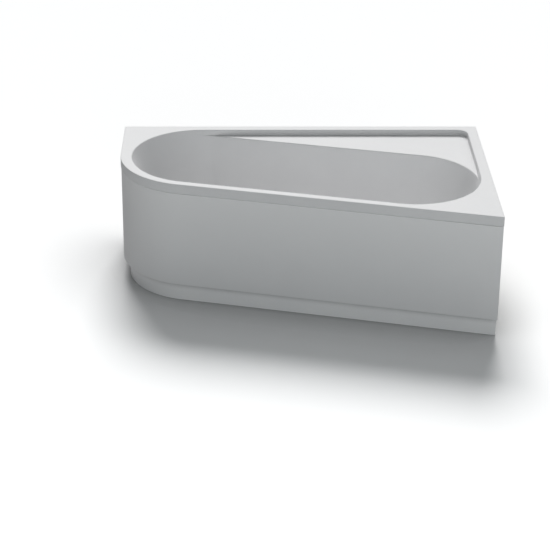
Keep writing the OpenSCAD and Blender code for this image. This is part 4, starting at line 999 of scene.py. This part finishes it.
screw = dict(
    headShape=(
        (0, 1), (0.45, 0.97), (0.75, 0.82), (0.93, 0.5), (1, 0.14), (0.97, 0), (0, 0)),
    headRadius=4.5, headHeight=3, headSteps=32, headTurn=50, recess=4.6, recessWidth=1.0,
    recessDepth=1.7, recessOver=1, recessTaper=0.7, sharp=40, radius=2.5, length=12,
    pitch=1.6, depth=0.5, taper=2.5, sides=14, rows=40, seed=7,
)


def buildScrew():
    r, high = screw["headRadius"], screw["headHeight"]
    head = lathe("screwHead", [(r * out, -high * rise) for out, rise in screw["headShape"]],
                 screw["headSteps"], screw["headTurn"])
    half, wide = screw["recess"] / 2, screw["recessWidth"] / 2
    arms = [block("recessArm", [(-x, -y), (x, -y), (x, y), (-x, y)],
                  -high - screw["recessOver"],
                  screw["recessDepth"] - high, screw["recessTaper"])
            for x, y in ((half, wide), (wide, half))]
    sharpen(cutBy(head, *arms), screw["sharp"])
    return joinInto("screwShape", head, threaded("screwShank", screw))


def screwPlaces():
    # for each node (point, aim, size) of its screws
    high = fixing["height"]
    pair = (-fixing["pair"], fixing["pair"])
    boardU = (railU["left"] + cradle["boardScrew"], railU["right"] - cradle["boardScrew"])
    board = [onFloor(u, w, cradle["boardTop"]) for u in boardU for w in boardW]
    board += [onFloor(railU["right"] + x, postW, cradle["postTop"])
              for x in (-cradle["postScrew"], cradle["postScrew"])]
    board += [onFloor(u, cradle["frontScrew"], cradle["frontTop"]) for u in railU.values()]
    clips = [onFloor(u + x, fixing["clipIn"], high) for u in clipU for x in pair]
    clips += [Vector((fixing["clipIn"] - halfLength, (cornerCentre.y + halfWidth) / 2 + x,
                      high)) * mm for x in pair]
    straps = [Vector((side * shell["length"] * fixing["strap"] + x,
                      halfWidth - fixing["strapIn"], high)) * mm
              for side in (-1, 1) for x in pair]
    straps += [Vector((halfLength - fixing["strapIn"], x - shell["width"] * fixing["strap"],
                       high)) * mm for x in pair]
    upright = {"frame_screws": board, "clip_screws": clips, "strap_screws": straps}
    places = {node: [(p, up, 1) for p in points] for node, points in upright.items()}
    places["cover_screws"] = [
        (frameMatrix(drainU, basinW, z) @ (Vector((*cradle["coverScrew"], 0)) * mm),
         -alongFront.to_3d(), cradle["coverSize"]) for z in cradle["coverHeights"]]
    return places


screwShape = helper(buildScrew())
for node, places in screwPlaces().items():
    strew(camel(node), places, screwShape, screw["seed"] + len(places), node)
print("screws placed")


# Feet: threaded rods, chamfered nuts and ribbed pads.

rod = dict(
    low=8, radius=5, length=130, pitch=1.5, depth=0.55, taper=1.5, sides=20, rows=520,
)
nut = dict(
    flats=17, height=8, bore=5.1, low=70, high=108, turned=0.97, chamfer=30, steps=48,
    sharp=25, seed=3,
)
pad = dict(
    profile=(
        (0, 0.6), (18, 0.6), (19, 0), (22.8, 0), (23.6, 0.5), (23.7, 3.2), (22.8, 4),
        (13.5, 7.4), (12.2, 8.6), (11.9, 10), (11.9, 15.2), (11.2, 16), (5.2, 16),
        (5.2, 8.1), (0, 8.1)),
    neck=12, ribs=16, ribSharp=30, turnEach=0.3,
    rib=(((-1, 0.9, 7.5), (-1, 0.7, 13)), ((9.5, 0.9, 3.6), (9, 0.7, 4.6))),
)


def buildNut():
    # a hexagon whose corners are turned off at both faces
    half, bore, high, steps = nut["flats"] / 2, nut["bore"], nut["height"], nut["steps"]
    turned = half * nut["turned"]
    sections = []
    for i in range(steps):
        a = 2 * pi * i / steps
        flat = half / cos(a % (pi / 3) - pi / 6)
        drop = (flat - turned) * tan(radians(nut["chamfer"]))
        sections.append([around(r, z, i, steps) for r, z in (
            (bore, 0), (turned, 0), (flat, drop), (flat, high - drop), (turned, high),
            (bore, high))])
    verts = [v for ring in zip(*sections) for v in ring]
    shape = newObject("nutShape", verts, strips(steps, len(sections[0])))
    return sharpen(faceOut(shape), nut["sharp"])


def buildPad():
    rib = sharpen(ribShape("padRib", pad["rib"]), pad["ribSharp"])
    return addRibs(lathe("padShape", pad["profile"]), rib, pad["ribs"], pad["neck"],
                   "footRubber")


nutShape, padShape = helper(buildNut()), helper(buildPad())
for k, (u, w) in enumerate(footAt):
    number = str(k + 1)
    footRod = moveMesh(threaded("footRod" + number, rod),
                       Matrix.Translation(onFloor(u, w, rod["low"])))
    done(footRod, "foot_" + number, "screw_steel", "foot_rod_" + number)
    footPad = moveMesh(copyOf("footPad" + number, padShape),
                       Matrix.Translation(onFloor(u, w, 0))
                       @ Matrix.Rotation(pad["turnEach"] * k, 4, "Z"))
    done(footPad, "foot_" + number, "foot_rubber", "foot_pad_" + number)
# the fifth foot, under the post, has its lower nut alone
nutPlaces = [(onFloor(u, w, nut[level]), up, 1) for u, w in footAt for level in ("low", "high")]
strew("footNuts", nutPlaces[:-1], nutShape, nut["seed"], "foot_nuts")
print("feet built")


# Pipe nuts and trap nut, with grip ribs.

pipe = dict(
    bore=14.15, chamfer=0.6, steps=72, ribs=18, ribHeight=0.9,
    ribRoot=(-0.6, 1.1), ribTop=(0.85, 0.55), ribIn=(1.5, 2.2),
    wallRadius=17.5, wallLength=18, wallPlace=(37, -24.7),
    portRadius=19.8, portLength=15, portPlace=(-59, 86),
)


def buildPipeNut(end, stand):
    # its axis starts at a place in the frame it stands in and runs along that frame's Y
    length, bore, cut = pipe[end + "Length"], pipe["bore"], pipe["chamfer"]
    body = pipe[end + "Radius"] - pipe["ribHeight"]
    shape = lathe(end + "PipeNut", [
        (bore, 0), (body - cut, 0), (body, cut), (body, length - cut), (body - cut, length),
        (bore, length)], pipe["steps"])
    low, high = pipe["ribIn"]
    rib = ribShape("gripRib", [
        ((*pipe["ribRoot"], low), (*pipe["ribTop"], high)),
        ((*pipe["ribRoot"], length - low), (*pipe["ribTop"], length - high))])
    addRibs(shape, rib, pipe["ribs"], body, "greyPlastic")
    y, z = pipe[end + "Place"]
    return moveMesh(shape, stand @ Matrix.Translation((0, y * mm, z * mm))
                    @ Matrix.Rotation(-pi / 2, 4, "X"))


pipeNuts = joinInto("pipeNuts", buildPipeNut("wall", overflowFrame),
                    buildPipeNut("port", frameMatrix(drainU, basinW, 0)))
done(pipeNuts, "bath", "grey_plastic", "pipe_nuts")


# Cable from the knob's housing down the basin's front wall to the lifter.

cable = dict(
    radius=3, sides=18, start=(32, -24.7), bend=85, low=68, nearOffset=24.5, farOffset=44,
    end=342.009, runSteps=28, bendSteps=18, sharp=50,
)


def cableRoute():
    # down along the wall and across it, then round the bend and along over the floor
    down = Vector((sin(sideDraft), -cos(sideDraft)))
    out = Vector((cos(sideDraft), sin(sideDraft)))
    y, z = cable["start"]
    start = Vector((overflowW, overflowZ)) + y * down + z * out
    run = (start.y - cable["low"] - cable["bend"] * (1 - out.y)) / out.x
    route = []
    for i in range(cable["runSteps"] + 1):
        t = i / cable["runSteps"]
        share = t * t * (3 - 2 * t)
        u = cable["nearOffset"] + (cable["farOffset"] - cable["nearOffset"]) * share
        route.append((u, *(start + run * t * down)))
    centre = start + run * down + cable["bend"] * out
    for i in range(1, cable["bendSteps"] + 1):
        a = pi + sideDraft + (pi / 2 - sideDraft) * i / cable["bendSteps"]
        route.append((cable["farOffset"], *(centre + polar(cable["bend"], a))))
    route.append((cable["farOffset"], cable["end"], cable["low"]))
    return [onFloor(drainU + u, w, z) for u, w, z in route]


def buildCable():
    points = cableRoute()
    line = newObject("cableSheath", points, smooth=False,
                     edges=[(i, i + 1) for i in range(len(points) - 1)])
    grow(line, tubeTree, "cablePlastic", Radius=cable["radius"] * mm, Sides=cable["sides"])
    return sharpen(line, cable["sharp"])


done(buildCable(), "bath", "cable_plastic", "cable_sheath")
print("pipe nuts and cable built")


# Pressed, sawn and moulded pieces: the same solids with their edges taken off.

softEdges = dict(
    rim_blocks=0.8, baseboard=0.8, cross_rail_left=0.8, cross_rail_right=0.8,
    shelf_post=0.6, rail_end_caps=0.8, panel_clips=0.5, plinth_brackets=0.5,
    wall_straps=0.5, lifter_cover=0.8,
)
softening = dict(weld=1e-5, flat=1, segments=2, limit=50, sharp=40)


def softCopy(node, width):
    piece = copyOf(camel("soft_" + node), nodes[node])
    shape = bmesh.new()
    shape.from_mesh(piece.data)
    bmesh.ops.remove_doubles(shape, verts=shape.verts, dist=softening["weld"])
    bmesh.ops.dissolve_limit(shape, angle_limit=radians(softening["flat"]),
                             verts=shape.verts, edges=shape.edges)
    shape.to_mesh(piece.data)
    shape.free()
    bevel = piece.modifiers.new("softEdge", "BEVEL")
    bevel.width = width * mm
    bevel.segments = softening["segments"]
    bevel.limit_method = "ANGLE"
    bevel.angle_limit = radians(softening["limit"])
    return sharpen(bakeModifiers(piece), softening["sharp"])


for node, width in softEdges.items():
    done(softCopy(node, width), "bath", slotOf[node], node)
print("soft edges:", len(softEdges))


# Floor, light and camera, in metres.

studio = dict(
    floorSize=14, floorDrop=0.001, floorSeen=1.45, floorBounce=0.55,
    contactReach=0.5, contactPower=0.9, contactSamples=16,
    sky=0.14, skyTint=(0.95, 0.985, 1.0),
    sunStrength=2.42, sunAngle=28, sunHeight=45, sunBearing=-2, sunDistance=9,
    fillPower=120, fillSize=4.0, fillPlace=(0.5, -7.0, 0.9),
    fillTint=(0.94, 0.99, 1.0), fillAim=(0, 0, 0.3),
)
view = dict(
    place=(-0.27343, -7.07852, 3.56245), pitch=24.9434, lens=116.679,
    shift=(0.0627, -0.0818), sensor=36, far=60,
)


def emptyTree(owner):
    owner.use_nodes = True
    owner.node_tree.nodes.clear()
    return owner.node_tree


def buildFloor():
    half, z = studio["floorSize"] / 2, -studio["floorDrop"]
    floor = newObject("studioFloor", [(-half, -half, z), (half, -half, z), (half, half, z),
                                      (-half, half, z)], [(0, 1, 2, 3)], smooth=False)
    finish = bpy.data.materials.new("studioFloor")
    tree = emptyTree(finish)
    # the contact shade: an open floor is white, and it darkens where the object is near
    near = addNode(tree, "ShaderNodeAmbientOcclusion", {"Distance": studio["contactReach"]},
                   samples=studio["contactSamples"]).outputs["AO"]
    shade = calc(tree, "MULTIPLY", calc(tree, "POWER", near, studio["contactPower"]),
                 studio["floorSeen"])
    ray = addNode(tree, "ShaderNodeLightPath").outputs
    matt = addNode(tree, "ShaderNodeBsdfDiffuse", {"Color": blend(
        tree, "RGBA", ray["Is Camera Ray"], (*[studio["floorBounce"]] * 3, 1), shade)})
    addNode(tree, "ShaderNodeOutputMaterial", {"Surface": matt.outputs["BSDF"]})
    paint(floor, finish)


def hold(data, place, turn):
    holder = addObject(data.name, data)
    holder.location = place
    holder.rotation_euler = turn
    return holder


def addLamp(name, kind, power, place, tint, aim):
    lamp = bpy.data.lights.new(name, kind)
    lamp.energy = power
    lamp.color = tint
    hold(lamp, place, (Vector(aim) - Vector(place)).to_track_quat("-Z", "Y").to_euler())
    return lamp


def buildLamps():
    rise, bearing = radians(studio["sunHeight"]), radians(studio["sunBearing"])
    place = studio["sunDistance"] * Vector((
        cos(rise) * sin(bearing), cos(rise) * cos(bearing), sin(rise)))
    key = addLamp("keyLamp", "SUN", studio["sunStrength"], place, (1, 1, 1), (0, 0, 0))
    key.angle = radians(studio["sunAngle"])
    fill = addLamp("fillLamp", "AREA", studio["fillPower"], studio["fillPlace"],
                   studio["fillTint"], studio["fillAim"])
    fill.size = studio["fillSize"]


def buildSky():
    # white where the camera or a reflection sees it, a faint cool light elsewhere
    world = bpy.data.worlds.new("studioSky")
    bpy.context.scene.world = world
    tree = emptyTree(world)
    ray = addNode(tree, "ShaderNodeLightPath").outputs
    seen = calc(tree, "MAXIMUM", ray["Is Camera Ray"], ray["Is Glossy Ray"])
    glow = addNode(tree, "ShaderNodeBackground", {
        "Color": blend(tree, "RGBA", seen, (*studio["skyTint"], 1), (1, 1, 1, 1)),
        "Strength": blend(tree, "FLOAT", seen, studio["sky"], 1)})
    addNode(tree, "ShaderNodeOutputWorld", {"Surface": glow.outputs["Background"]})


def buildCamera():
    camera = bpy.data.cameras.new("photoCamera")
    camera.sensor_width = view["sensor"]
    camera.lens = view["lens"]
    camera.shift_x, camera.shift_y = view["shift"]
    camera.clip_end = view["far"]
    bpy.context.scene.camera = hold(camera, view["place"],
                                    (radians(90 - view["pitch"]), 0, 0))


buildFloor()
buildLamps()
buildSky()
buildCamera()
bpy.context.scene.view_settings.view_transform = "Standard"
for piece in helpers:
    bpy.data.objects.remove(piece)
print("stage ready")
